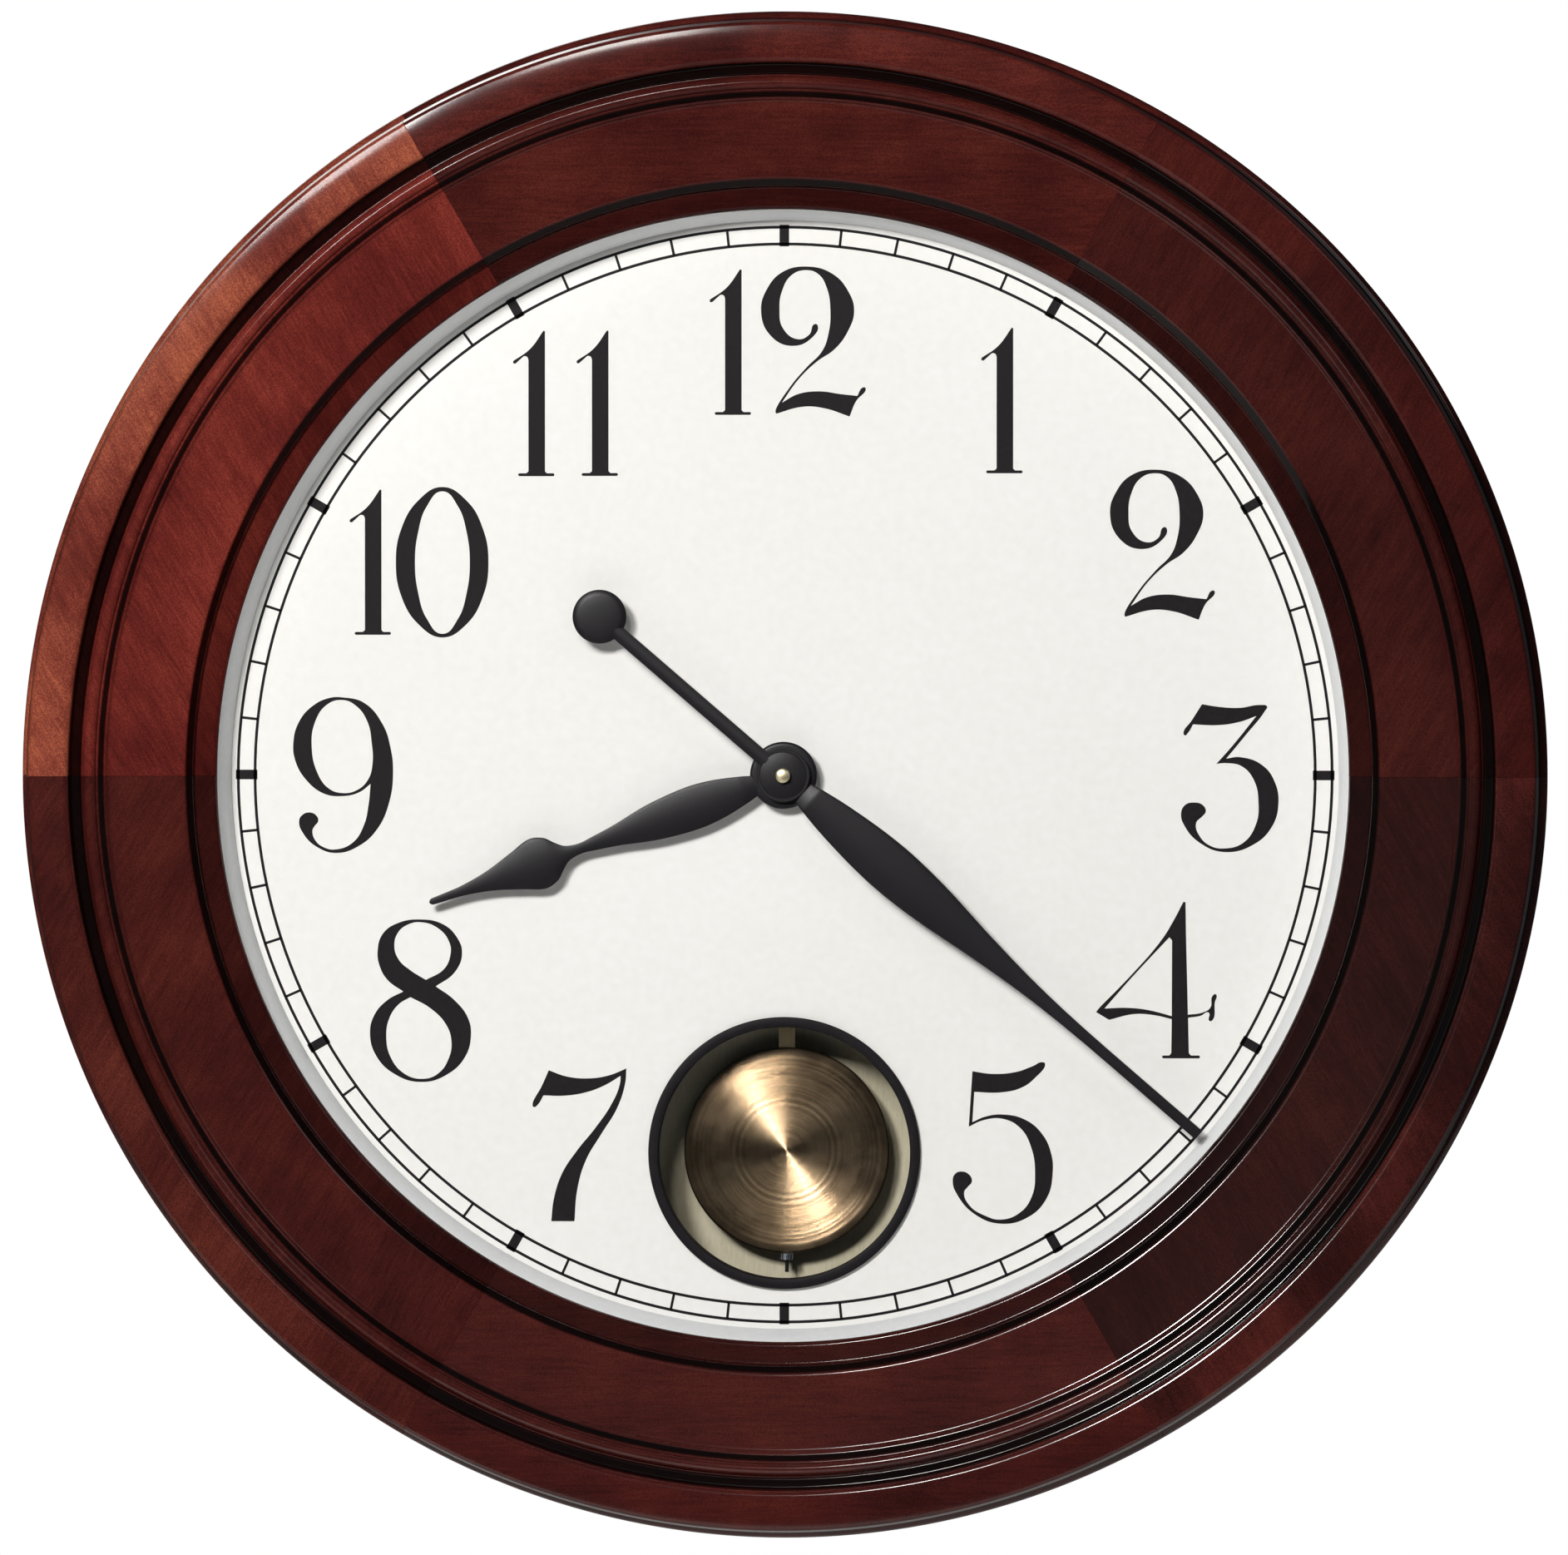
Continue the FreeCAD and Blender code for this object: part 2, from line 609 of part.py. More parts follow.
def makeRim():
    # the segments follow each other anticlockwise from three o'clock
    count = int(size("segmentCount"))
    share = 360 / count
    half = math.radians(share / 2)
    circle = size("clipScrewCircle")
    for number in range(count):
        label = f"rim_segment_{number + 1}"
        body = newBody(label)
        turned(body, f"rimTurning{number + 1}", rimOutline(), share)
        name = f"clipPilot{number + 1}"
        sketch = newSketch(body, name + "Sketch", "XY_Plane", "rimBack + clipScrewBite + overcut")
        spot = Vector(circle * math.cos(half), circle * math.sin(half), 0)
        radius = size("screwPilot")
        index = sketch.addGeometry(Part.Circle(spot, Vector(0, 0, 1), radius), False)
        held = sketch.addConstraint(Sketcher.Constraint("Radius", index, radius))
        sketch.setExpression(f"Constraints[{held}]", bound("screwPilot"))
        for kind, part in (("DistanceX", "cos"), ("DistanceY", "sin")):
            reach = circle * getattr(math, part)(half)
            held = sketch.addConstraint(Sketcher.Constraint(kind, -1, 1, index, 3, reach))
            sketch.setExpression(
                f"Constraints[{held}]",
                f"dims.clipScrewCircle * {part}(180 deg / dims.segmentCount)",
            )
        hole = body.newObject("PartDesign::Pocket", name)
        hole.Profile = sketch
        hole.setExpression("Length", bound("clipScrewBite + overcut * 2"))
        turn = FreeCAD.Placement(
            Vector(0, 0, 0), FreeCAD.Rotation(Vector(0, 0, 1), number * share)
        )
        subPart(body, label, upright.multiply(turn))


def makeHoop():
    body = newBody("case_hoop")
    outline = [
        ("hoopInner", "panelFront"),
        ("hoopSeat", "panelFront"),
        ("hoopSeat", "0"),
        ("hoopOuter", "0"),
        ("hoopOuter", "rimBack"),
        ("hoopInner", "rimBack"),
    ]
    turned(body, "hoopTurning", outline)
    pilot = pocket(
        body,
        "hoopPilot",
        "panelFront + screwBite + overcut",
        "screwBite + overcut * 2",
        [("screwCircle", "0", "screwPilot")],
    )
    document.recompute()
    polarPattern(body, pilot, "screwCount")
    subPart(body, "case_hoop")


def makeBackPanel():
    body = newBody("back_panel")
    pad(body, "panelDisc", "panelBack", "panelThick", [("0", "0", "panelRadius")])
    hand = roundedBox("accessLeft", "accessRight", "accessLow", "accessHigh", "accessCorner")
    pocket(body, "handHole", "panelFront + overcut", "panelThick + overcut * 2", [hand])
    room = roundedBox(
        "headRoomLeft", "headRoomRight", "headRoomLow", "headRoomHigh", "headRoomCorner"
    )
    pocket(body, "headHole", "panelFront + overcut", "panelThick + overcut * 2", [room])
    spread = ("plateScrewSpread", "plateScrewHeight", "screwPass")
    mirrored = ("0 - plateScrewSpread", "plateScrewHeight", "screwPass")
    pocket(body, "plateScrewHoles", "panelFront + overcut", "panelThick + overcut * 2", [spread, mirrored])
    hole = pocket(
        body,
        "panelScrewHole",
        "panelFront + overcut",
        "panelThick + overcut * 2",
        [("screwCircle", "0", "screwPass")],
    )
    document.recompute()
    polarPattern(body, hole, "screwCount")
    subPart(body, "back_panel")


def woodScrew(name, across, along, headBack, shankFront, placement=None):
    # a flat round head towards the wall and a plain shank
    head = cylinder(name + "Head", "screwHead", "headHeight", across, along, headBack)
    shank = cylinder(
        name + "Shank",
        "screwShank",
        f"{shankFront} - {headBack} - headHeight",
        across,
        along,
        f"{headBack} + headHeight",
    )
    screw = joined(name, [head, shank])
    if placement:
        screw.Placement = placement
    return screw


def turnedTo(degrees):
    return FreeCAD.Placement(Vector(0, 0, 0), FreeCAD.Rotation(Vector(0, 0, 1), degrees))


def makeBackPanelScrews():
    count = int(size("screwCount"))
    screws = [
        woodScrew(
            f"panelScrew{number + 1}",
            "screwCircle",
            "0",
            "panelBack - headHeight",
            "panelFront + screwBite",
            turnedTo(number * 360 / count),
        )
        for number in range(count)
    ]
    subPart(grouped("backPanelScrews", screws), "back_panel_screws")


def makeHangerBlock():
    # a block under the top of the hoop, with a pocket for the head of the wall screw
    body = newBody("hanger_block")
    # the top is an arc about the clock's axis, so its ends follow from its radius
    rise = "sqrt( blockRound ^ 2 - blockRight ^ 2 )"
    outline = [
        ("blockLeft", "blockLow"),
        ("blockRight", "blockLow"),
        ("blockRight", rise, "blockRound"),
        ("blockLeft", rise),
    ]
    pad(body, "blockPad", "panelFront", "blockFront - panelFront", [outline])
    room = roundedBox(
        "headRoomLeft", "headRoomRight", "headRoomLow", "headRoomHigh", "headRoomCorner"
    )
    pocket(body, "headPocket", "headRoomDepth", "headRoomDepth - panelFront + overcut", [room])
    spread = ("plateScrewSpread", "plateScrewHeight", "screwPilot")
    mirrored = ("0 - plateScrewSpread", "plateScrewHeight", "screwPilot")
    deep = "screwBite + overcut * 2"
    pocket(body, "blockPilots", "panelFront + screwBite + overcut", deep, [spread, mirrored])
    subPart(body, "hanger_block")


def makeHangerPlate():
    # steel plate whose keyhole drops over the head of a wall screw
    body = newBody("hanger_plate")
    plate = roundedBox("plateLeft", "plateRight", "plateLow", "plateHigh", "plateCorner")
    pad(body, "hangerPlate", "plateBack", "plateThick", [plate])
    top = "plateBack + plateThick + overcut"
    deep = "plateThick + overcut * 2"
    pocket(body, "keyholeRound", top, deep, [("0", "keyholeHeight", "keyholeRadius")])
    slot = squareBox("0 - keyholeSlot", "keyholeSlot", "keyholeHeight", "keyholeTop")
    pocket(body, "keyholeSlot", top, deep, [slot])
    pocket(body, "keyholeEnd", top, deep, [("0", "keyholeTop", "keyholeSlot")])
    spread = ("plateScrewSpread", "plateScrewHeight", "screwPass")
    mirrored = ("0 - plateScrewSpread", "plateScrewHeight", "screwPass")
    pocket(body, "plateHoles", top, deep, [spread, mirrored])
    subPart(body, "hanger_plate")


def makeHangerScrews():
    screws = [
        woodScrew(
            f"plateScrew{side}",
            across,
            "plateScrewHeight",
            "plateBack - headHeight",
            "panelFront + screwBite",
        )
        for side, across in (("Right", "plateScrewSpread"), ("Left", "0 - plateScrewSpread"))
    ]
    subPart(grouped("hangerScrews", screws), "hanger_screws")


# ---- glass, liner, dial ----


def makeGlassAndLiner():
    platePart("glass", "glassBack", "glassThick", [("0", "0", "glassRadius")])
    liner = [
        ("linerBackRadius", "dialFront"),
        ("linerOuter", "dialFront"),
        ("linerOuter", "glassBack"),
        ("linerFrontRadius", "glassBack"),
    ]
    turnedPart("liner_ring", liner)


def makeDialBoard():
    body = platePart("dial_board", "dialBack", "dialThick", [("0", "0", "dialRadius")])
    window = ("0", "windowHeight", "windowHole")
    centre = ("0", "0", "dialBore")
    pocket(body, "dialHoles", "dialFront + overcut", "dialThick + overcut * 2", [window, centre])


def makeBezel():
    # a tube through the dial with a flange on the dial's face
    outline = [
        ("bezelInner", "bezelBack"),
        ("bezelTube", "bezelBack"),
        ("bezelTube", "dialFront"),
        ("bezelOuter", "dialFront"),
        ("bezelOuter", "bezelFront - bezelEase"),
        ("bezelOuter - bezelEase", "bezelFront"),
        ("bezelInner + bezelEase", "bezelFront"),
        ("bezelInner", "bezelFront - bezelEase"),
    ]
    spot = FreeCAD.Placement(Vector(0, size("windowHeight"), 0), FreeCAD.Rotation())
    turnedPart("aperture_bezel", outline, upright.multiply(spot))


def makeDialClips():
    # steel tabs screwed to the back of the rim that hold the dial in its recess
    count = int(size("segmentCount"))
    share = 360 / count
    clips = []
    screws = []
    for number in range(count):
        turn = turnedTo((number + 0.5) * share)
        blank = document.addObject("Part::Box", f"clipBlank{number + 1}")
        blank.setExpression("Length", bound("clipOuter - clipInner"))
        blank.setExpression("Width", bound("clipHalf * 2"))
        blank.setExpression("Height", bound("clipThick"))
        blank.setExpression("Placement.Base.x", bound("clipInner"))
        blank.setExpression("Placement.Base.y", bound("0 - clipHalf"))
        blank.setExpression("Placement.Base.z", bound("clipBack"))
        hole = cylinder(
            f"clipHole{number + 1}",
            "screwPass",
            "clipThick + overcut * 2",
            "clipScrewCircle",
            "0",
            "clipBack - overcut",
        )
        clip = cutAway(f"clip{number + 1}", blank, hole)
        clip.Placement = turn
        clips.append(clip)
        screw = woodScrew(
            f"clipScrew{number + 1}",
            "clipScrewCircle",
            "0",
            "clipBack - headHeight",
            "rimBack + clipScrewBite",
            turn,
        )
        screws.append(screw)
    subPart(grouped("dialClips", clips), "dial_clips")
    subPart(grouped("dialClipScrews", screws), "dial_clip_screws")


# ---- gear geometry ----


def reachedFrom(start, distance, degrees):
    turn = math.radians(degrees)
    return Vector(start.x + distance * math.cos(turn), start.y + distance * math.sin(turn), 0)


def apart(firstTeeth, secondTeeth, module):
    return (firstTeeth + secondTeeth) * module / 2


def meshPhase(firstTeeth, firstPhase, direction, secondTeeth):
    # turns the second gear so that a gap meets the first gear's tooth on the line of centres;
    # direction is from the first gear to the second
    firstPitch = 360 / firstTeeth
    secondPitch = 360 / secondTeeth
    offset = ((direction - firstPhase) % firstPitch) / firstPitch
    return direction + 180 - secondPitch * (0.5 - offset)


def toothed(teeth, module, phase, depth, thick, spot):
    # a solid disc with straight-sided teeth, the first one at the angle called phase
    pitch = 2 * math.pi / teeth
    middle = teeth * module / 2
    root = middle - module * size("toothBelow")
    tip = middle + module * size("toothAbove")
    rootHalf = pitch * size("toothRootShare") / 2
    tipHalf = pitch * size("toothTipShare") / 2
    corners = []
    for number in range(teeth):
        angle = math.radians(phase) + number * pitch
        for radius, turn in (
            (root, -rootHalf),
            (tip, -tipHalf),
            (tip, tipHalf),
            (root, rootHalf),
        ):
            across = spot.x + radius * math.cos(angle + turn)
            along = spot.y + radius * math.sin(angle + turn)
            corners.append(Vector(across, along, depth))
    corners.append(corners[0])
    return Part.Face(Part.makePolygon(corners)).extrude(Vector(0, 0, thick))


def rod(radius, back, front, spot=Vector(0, 0, 0)):
    return Part.makeCylinder(radius, front - back, Vector(spot.x, spot.y, back))


centreSpot = Vector(0, 0, 0)
trainApart = apart(size("centreTeeth"), size("thirdPinionTeeth"), size("trainModule"))
fifthApart = apart(size("secondsTeeth"), size("fifthPinionTeeth"), size("fifthModule"))
rotorApart = apart(size("fifthTeeth"), size("rotorPinionTeeth"), size("rotorModule"))
motionApart = apart(size("cannonTeeth"), size("motionTeeth"), size("motionModule"))
# these two pairs share a pair of axes with another pair, which fixes their modules
thirdModule = 2 * trainApart / (size("thirdTeeth") + size("secondsPinionTeeth"))
hourModule = 2 * motionApart / (size("motionPinionTeeth") + size("hourTeeth"))
thirdSpot = reachedFrom(centreSpot, trainApart, size("thirdDegrees"))
fifthSpot = reachedFrom(centreSpot, fifthApart, size("fifthDegrees"))
rotorSpot = reachedFrom(fifthSpot, rotorApart, size("rotorDegrees"))
motionSpot = reachedFrom(centreSpot, motionApart, size("motionDegrees"))
knobSpot = reachedFrom(motionSpot, motionApart, size("knobDegrees"))


def gear(teethAlias, module, phase, back, thick, spot):
    return toothed(int(size(teethAlias)), module, phase, back, thick, spot)


def mated(firstAlias, direction, secondAlias):
    # phase of the second gear when the first one's phase is 0
    return meshPhase(size(firstAlias), 0, direction, size(secondAlias))


def pinionSpan(wheelBack):
    # a pinion covers its mate's thickness and stands out each side
    back = wheelBack - size("pinionLead")
    return back, size("pinionThick")


def makeCentreWheel():
    # minute arbor: a long tube with the centre wheel and the cannon pinion
    wheel = gear(
        "centreTeeth", size("trainModule"), 0, size("centreBack"), size("wheelThick"), centreSpot
    )
    cannon = gear(
        "cannonTeeth", size("motionModule"), 0, size("cannonBack"), size("pinionThick"), centreSpot
    )
    start = size("caseSplit") + size("midThick") + size("pinionLead") / 2
    tube = rod(size("minuteTube"), start, size("minuteFront"))
    bore = rod(size("minuteBore"), start - beyond, size("minuteFront") + beyond)
    shaped("centre_wheel", wheel.fuse([cannon, tube]).cut(bore).removeSplitter())


def makeThirdWheel():
    phase = mated("centreTeeth", size("thirdDegrees"), "thirdPinionTeeth")
    back, thick = pinionSpan(size("centreBack"))
    pinion = gear("thirdPinionTeeth", size("trainModule"), phase, back, thick, thirdSpot)
    wheel = gear("thirdTeeth", thirdModule, 0, size("thirdBack"), size("wheelThick"), thirdSpot)
    arbor = rod(size("arborRadius"), size("arborBack"), back + thick, thirdSpot)
    shaped("third_wheel", wheel.fuse([pinion, arbor]).removeSplitter())


def makeSecondsWheel():
    towards = size("thirdDegrees") + 180
    phase = mated("thirdTeeth", towards, "secondsPinionTeeth")
    back, thick = pinionSpan(size("thirdBack"))
    pinion = gear("secondsPinionTeeth", thirdModule, phase, back, thick, centreSpot)
    wheel = gear(
        "secondsTeeth", size("fifthModule"), 0, size("secondsBack"), size("wheelThick"), centreSpot
    )
    arbor = rod(size("secondsArbor"), size("arborBack"), size("secondsFront"))
    shaped("seconds_wheel", wheel.fuse([pinion, arbor]).removeSplitter())


def makeFifthWheel():
    phase = mated("secondsTeeth", size("fifthDegrees"), "fifthPinionTeeth")
    back, thick = pinionSpan(size("secondsBack"))
    pinion = gear("fifthPinionTeeth", size("fifthModule"), phase, back, thick, fifthSpot)
    wheel = gear(
        "fifthTeeth", size("rotorModule"), 0, size("fifthBack"), size("wheelThick"), fifthSpot
    )
    arbor = rod(
        size("arborRadius"), size("arborBack"), size("caseSplit") + size("wheelThick"), fifthSpot
    )
    shaped("fifth_wheel", wheel.fuse([pinion, arbor]).removeSplitter())


def makeRotor():
    phase = mated("fifthTeeth", size("rotorDegrees"), "rotorPinionTeeth")
    back, thick = pinionSpan(size("fifthBack"))
    pinion = gear("rotorPinionTeeth", size("rotorModule"), phase, back, thick, rotorSpot)
    arbor = rod(
        size("rotorArbor"), size("arborBack"), size("caseSplit") + size("wheelThick"), rotorSpot
    )
    shaped("rotor_pinion", pinion.fuse(arbor).removeSplitter())
    front = size("rotorBack") + size("rotorThick")
    magnet = rod(size("rotorRadius"), size("rotorBack"), front, rotorSpot)
    bore = rod(size("rotorArbor"), size("rotorBack") - beyond, front + beyond, rotorSpot)
    shaped("rotor_magnet", magnet.cut(bore))


def makeMotionWheel():
    # turns on a post of the front case, between cannon pinion, hour wheel and set knob
    phase = mated("cannonTeeth", size("motionDegrees"), "motionTeeth")
    wheel = gear(
        "motionTeeth",
        size("motionModule"),
        phase,
        size("motionBack"),
        size("wheelThick"),
        motionSpot,
    )
    reach = size("motionPinionFront") - size("motionBack")
    pinion = gear("motionPinionTeeth", hourModule, 0, size("motionBack"), reach, motionSpot)
    bore = rod(
        size("motionPost") + size("pivotPlay"),
        size("motionBack") - beyond,
        size("motionPinionFront") + beyond,
        motionSpot,
    )
    shaped("motion_wheel", wheel.fuse(pinion).cut(bore).removeSplitter())
    return phase


def makeHourWheel():
    phase = mated("motionPinionTeeth", size("motionDegrees") + 180, "hourTeeth")
    wheel = gear("hourTeeth", hourModule, phase, size("hourBack"), size("wheelThick"), centreSpot)
    pipe = rod(size("hourTube"), size("hourBack"), size("hourFront"))
    bore = rod(size("hourBore"), size("hourBack") - beyond, size("hourFront") + beyond)
    shaped("hour_wheel", wheel.fuse(pipe).cut(bore).removeSplitter())


def makeSetKnob(motionPhase):
    phase = meshPhase(
        size("motionTeeth"), motionPhase, size("knobDegrees"), size("knobPinionTeeth")
    )
    back, thick = pinionSpan(size("motionBack"))
    pinion = gear("knobPinionTeeth", size("motionModule"), phase, back, thick, knobSpot)
    shaft = rod(size("knobShaft"), size("knobBack"), size("shaftFront"), knobSpot)
    knob = rod(size("knobRadius"), size("knobBack"), size("knobFront"), knobSpot)
    count = int(size("knobFlutes"))
    for number in range(count):
        spot = reachedFrom(knobSpot, size("knobRadius"), number * 360 / count)
        back, front = size("knobBack") - beyond, size("knobFront") + beyond
        flute = rod(size("knobFluteRadius"), back, front, spot)
        knob = knob.cut(flute)
    shaped("set_knob", knob.fuse([shaft, pinion]).removeSplitter())


# ---- movement case ----


def text(number):
    # a worked-out position, as a fixed number in an expression
    return f"{number:.6f}" if number >= 0 else f"0 - {-number:.6f}"


def at(spot, radius):
    return (text(spot.x), text(spot.y), radius)


def makeFrontHousing():
    body = newBody("movement_front_housing")
    outer = roundedBox("caseLeft", "caseRight", "caseLow", "caseHigh", "caseCorner")
    pad(body, "frontBlock", "caseSplit", "caseFront - caseSplit", [outer])
    inner = roundedBox(
        "caseLeft + caseWall",
        "caseRight - caseWall",
        "caseLow + caseWall",
        "caseHigh - caseWall",
        "caseCorner - caseWall",
    )
    pocket(body, "frontRoom", "caseFront - caseWall", "caseFront - caseWall - caseSplit", [inner])
    pad(body, "bushing", "caseFront", "bushFront - caseFront", [("0", "0", "bushRadius")])
    pocket(body, "bushingBore", "bushFront", "bushFront - caseSplit", [("0", "0", "bushBore")])
    post = at(motionSpot, "motionPost")
    reach = "caseFront - caseWall - motionBack + pinionLead"
    pad(body, "motionPost", "motionBack - pinionLead", reach, [post])
    plateBack = "caseSplit + midThick"
    pillars = [(across, along, "pillarRadius") for across, along in pillarSpots()]
    pad(body, "pillars", plateBack, "caseFront - caseWall - caseSplit - midThick", pillars)
    subPart(body, "movement_front_housing")


def pillarSpots():
    inset = "pillarRadius + overcut"
    left = f"midLeft + {inset}"
    right = "midRight - pillarRadius - overcut"
    low = f"midLow + {inset}"
    high = "midHigh - pillarRadius - overcut"
    return [(left, low), (right, low), (left, high), (right, high)]


def makeMidPlate():
    body = newBody("gear_mid_plate")
    outer = roundedBox("midLeft", "midRight", "midLow", "midHigh", "midCorner")
    pad(body, "midPlate", "caseSplit", "midThick", [outer])
    # two feet carry the stator
    feet = [
        ("statorNeck + pillarRadius", "legHigh + pillarRadius", "pillarRadius"),
        ("statorNeck + pillarRadius", "legLow - pillarRadius", "pillarRadius"),
    ]
    pad(
        body,
        "statorFeet",
        "statorBack + wheelThick",
        "caseSplit - statorBack - wheelThick",
        feet,
    )
    holes = [
        at(thirdSpot, "arborRadius + pivotPlay"),
        at(fifthSpot, "arborRadius + pivotPlay"),
        at(rotorSpot, "rotorArbor + pivotPlay"),
        at(knobSpot, "knobShaft + pivotPlay"),
        ("0", "0", "secondsArbor + pivotPlay"),
    ]
    pocket(body, "midHoles", "caseSplit + midThick + overcut", "midThick + overcut * 2", holes)
    subPart(body, "gear_mid_plate")


def makeBackHousing():
    body = newBody("movement_back_housing")
    outer = roundedBox("caseLeft", "caseRight", "caseLow", "caseHigh", "caseCorner")
    pad(body, "backBlock", "caseBack", "caseSplit - caseBack", [outer])
    inner = roundedBox(
        "caseLeft + caseWall",
        "caseRight - caseWall",
        "caseLow + caseWall",
        "caseHigh - caseWall",
        "caseCorner - caseWall",
    )
    pocket(body, "backRoom", "caseSplit", "caseSplit - caseBack - caseWall", [inner])
    bay = squareBox("0 - bayHalf", "bayHalf", "bayLow", "bayHigh")
    pocket(body, "batteryBay", "caseSplit", "caseSplit - caseBack + overcut", [bay])
    holes = [
        at(thirdSpot, "arborRadius + pivotPlay"),
        at(fifthSpot, "arborRadius + pivotPlay"),
        at(rotorSpot, "rotorArbor + pivotPlay"),
        at(knobSpot, "knobShaft + pivotPlay"),
        ("0", "0", "secondsArbor + pivotPlay"),
        ("0", "pivotHeight", "pivotHole"),
    ]
    pocket(body, "pivotHoles", "caseBack + caseWall + overcut", "caseWall + overcut * 2", holes)
    slit = squareBox("0 - slitHalf", "slitHalf", "caseLow - overcut", "caseLow + caseWall + overcut")
    pocket(body, "pendulumSlit", "slitFront", "slitFront - slitBack", [slit])
    subPart(body, "movement_back_housing")


def makeFixings():
    platePart(
        "cushion_washer",
        "caseFront",
        "cushionThick",
        [("0", "0", "cushionRadius"), ("0", "0", "dialBore")],
    )
    platePart(
        "mounting_washer",
        "dialFront",
        "washerThick",
        [("0", "0", "washerRadius"), ("0", "0", "dialBore")],
    )
    prism = document.addObject("Part::Prism", "nutPrism")
    prism.Polygon = 6
    prism.setExpression("Circumradius", bound("nutCorner"))
    prism.setExpression("Height", bound("nutThick"))
    prism.setExpression("Placement.Base.z", bound("nutBack"))
    bore = cylinder("nutBoreTool", "nutBore", "nutThick + overcut * 2", "0", "0", "nutBack - overcut")
    subPart(cutAway("mountingNut", prism, bore), "mounting_nut")


# ---- motor, board, battery ----


def makeStator():
    outline = [
        ("statorLeft", "poleLow"),
        ("statorNeck", "poleLow"),
        ("statorNeck", "statorLow"),
        ("statorRight", "statorLow"),
        ("statorRight", "statorHigh"),
        ("statorNeck", "statorHigh"),
        ("statorNeck", "poleHigh"),
        ("statorLeft", "poleHigh"),
    ]
    window = squareBox("statorInner", "coreLeft", "legLow", "legHigh")
    hole = at(rotorSpot, "statorHole")
    platePart("stator", "statorBack", "wheelThick", [outline, window, hole])


def makeMotorCoil():
    # the bobbin stands on the stator's core, its axis up the dial
    middle = Vector(
        (size("coreLeft") + size("statorRight")) / 2,
        size("legLow"),
        size("statorBack") + size("wheelThick") / 2,
    )
    tall = size("legHigh") - size("legLow")
    play = size("coreRoom")
    upward = Vector(0, 1, 0)
    coreWide = size("statorRight") - size("coreLeft") + play * 2
    coreThick = size("wheelThick") + play * 2
    slot = Part.makeBox(
        coreWide,
        tall + beyond * 2,
        coreThick,
        Vector(middle.x - coreWide / 2, middle.y - beyond, middle.z - coreThick / 2),
    )
    flange = size("bobbinFlange")
    low = middle + Vector(0, play, 0)
    high = middle + Vector(0, tall - play - flange, 0)
    spool = Part.makeCylinder(size("bobbinTube"), tall - play * 2, low, upward)
    ends = [Part.makeCylinder(size("bobbinRadius"), flange, spot, upward) for spot in (low, high)]
    shaped("coil_bobbin", spool.fuse(ends).cut(slot).removeSplitter())
    wound = Part.makeCylinder(
        size("windingRadius"), tall - play * 2 - flange * 2, low + Vector(0, flange, 0), upward
    )
    hollow = Part.makeCylinder(size("bobbinTube"), tall, middle, upward)
    shaped("coil_winding", wound.cut(hollow))


def makeBoard():
    board = squareBox("0 - boardHalf", "boardHalf", "boardLow", "boardHigh")
    platePart("circuit_board", "boardBack", "boardThick", [board])
    chip = squareBox("chipLeft", "chipLeft + chipHalf * 2", "chipLow", "chipLow + chipHalf * 2")
    platePart("timing_chip", "boardBack - chipThick", "chipThick", [chip])
    radius = size("crystalRadius")
    spot = Vector(size("crystalLeft"), size("crystalHeight"), size("boardBack") - radius)
    can = Part.makeCylinder(radius, size("crystalLength"), spot, Vector(1, 0, 0))
    shaped("quartz_crystal", can)
    platePart(
        "pendulum_coil",
        "driveBack",
        "boardBack - driveBack",
        [("0", "driveHeight", "driveRadius"), ("0", "driveHeight", "driveBore")],
    )


def makeBattery():
    long = size("cellLength")
    spot = Vector(-long / 2, size("cellHeight"), size("cellDepth"))
    across = Vector(1, 0, 0)
    cell = Part.makeCylinder(size("cellRadius"), long, spot, across)
    nub = Part.makeCylinder(
        size("cellNubRadius"), size("cellNubLength"), spot + across * long, across
    )
    shaped("battery", cell.fuse(nub))


def makeContacts():
    thick = size("contactThick")
    half = size("contactHalf")
    high = size("cellHeight")
    deep = size("cellDepth")
    end = size("cellLength") / 2
    across = Vector(1, 0, 0)
    plus = Part.makeBox(
        thick,
        half * 2,
        half * 2,
        Vector(end + size("cellNubLength"), high - half, deep - half),
    )
    shaped("battery_plus_contact", plus)
    wall = -size("bayHalf") + thick
    minus = Part.makeBox(thick, half * 2, half * 2, Vector(wall - thick, high - half, deep - half))
    # the coil spring against the battery's flat end, drawn closed
    spring = Part.makeCone(
        size("coneRadius"),
        size("cellNubRadius"),
        -end - wall,
        Vector(wall, high, deep),
        across,
    )
    shaped("battery_minus_spring", minus.fuse(spring))


# ---- pendulum ----


def makePivotPin():
    pin = ("0", "pivotHeight", "pivotRadius")
    platePart("pivot_pin", "pivotBack", "pivotFront - pivotBack", [pin])


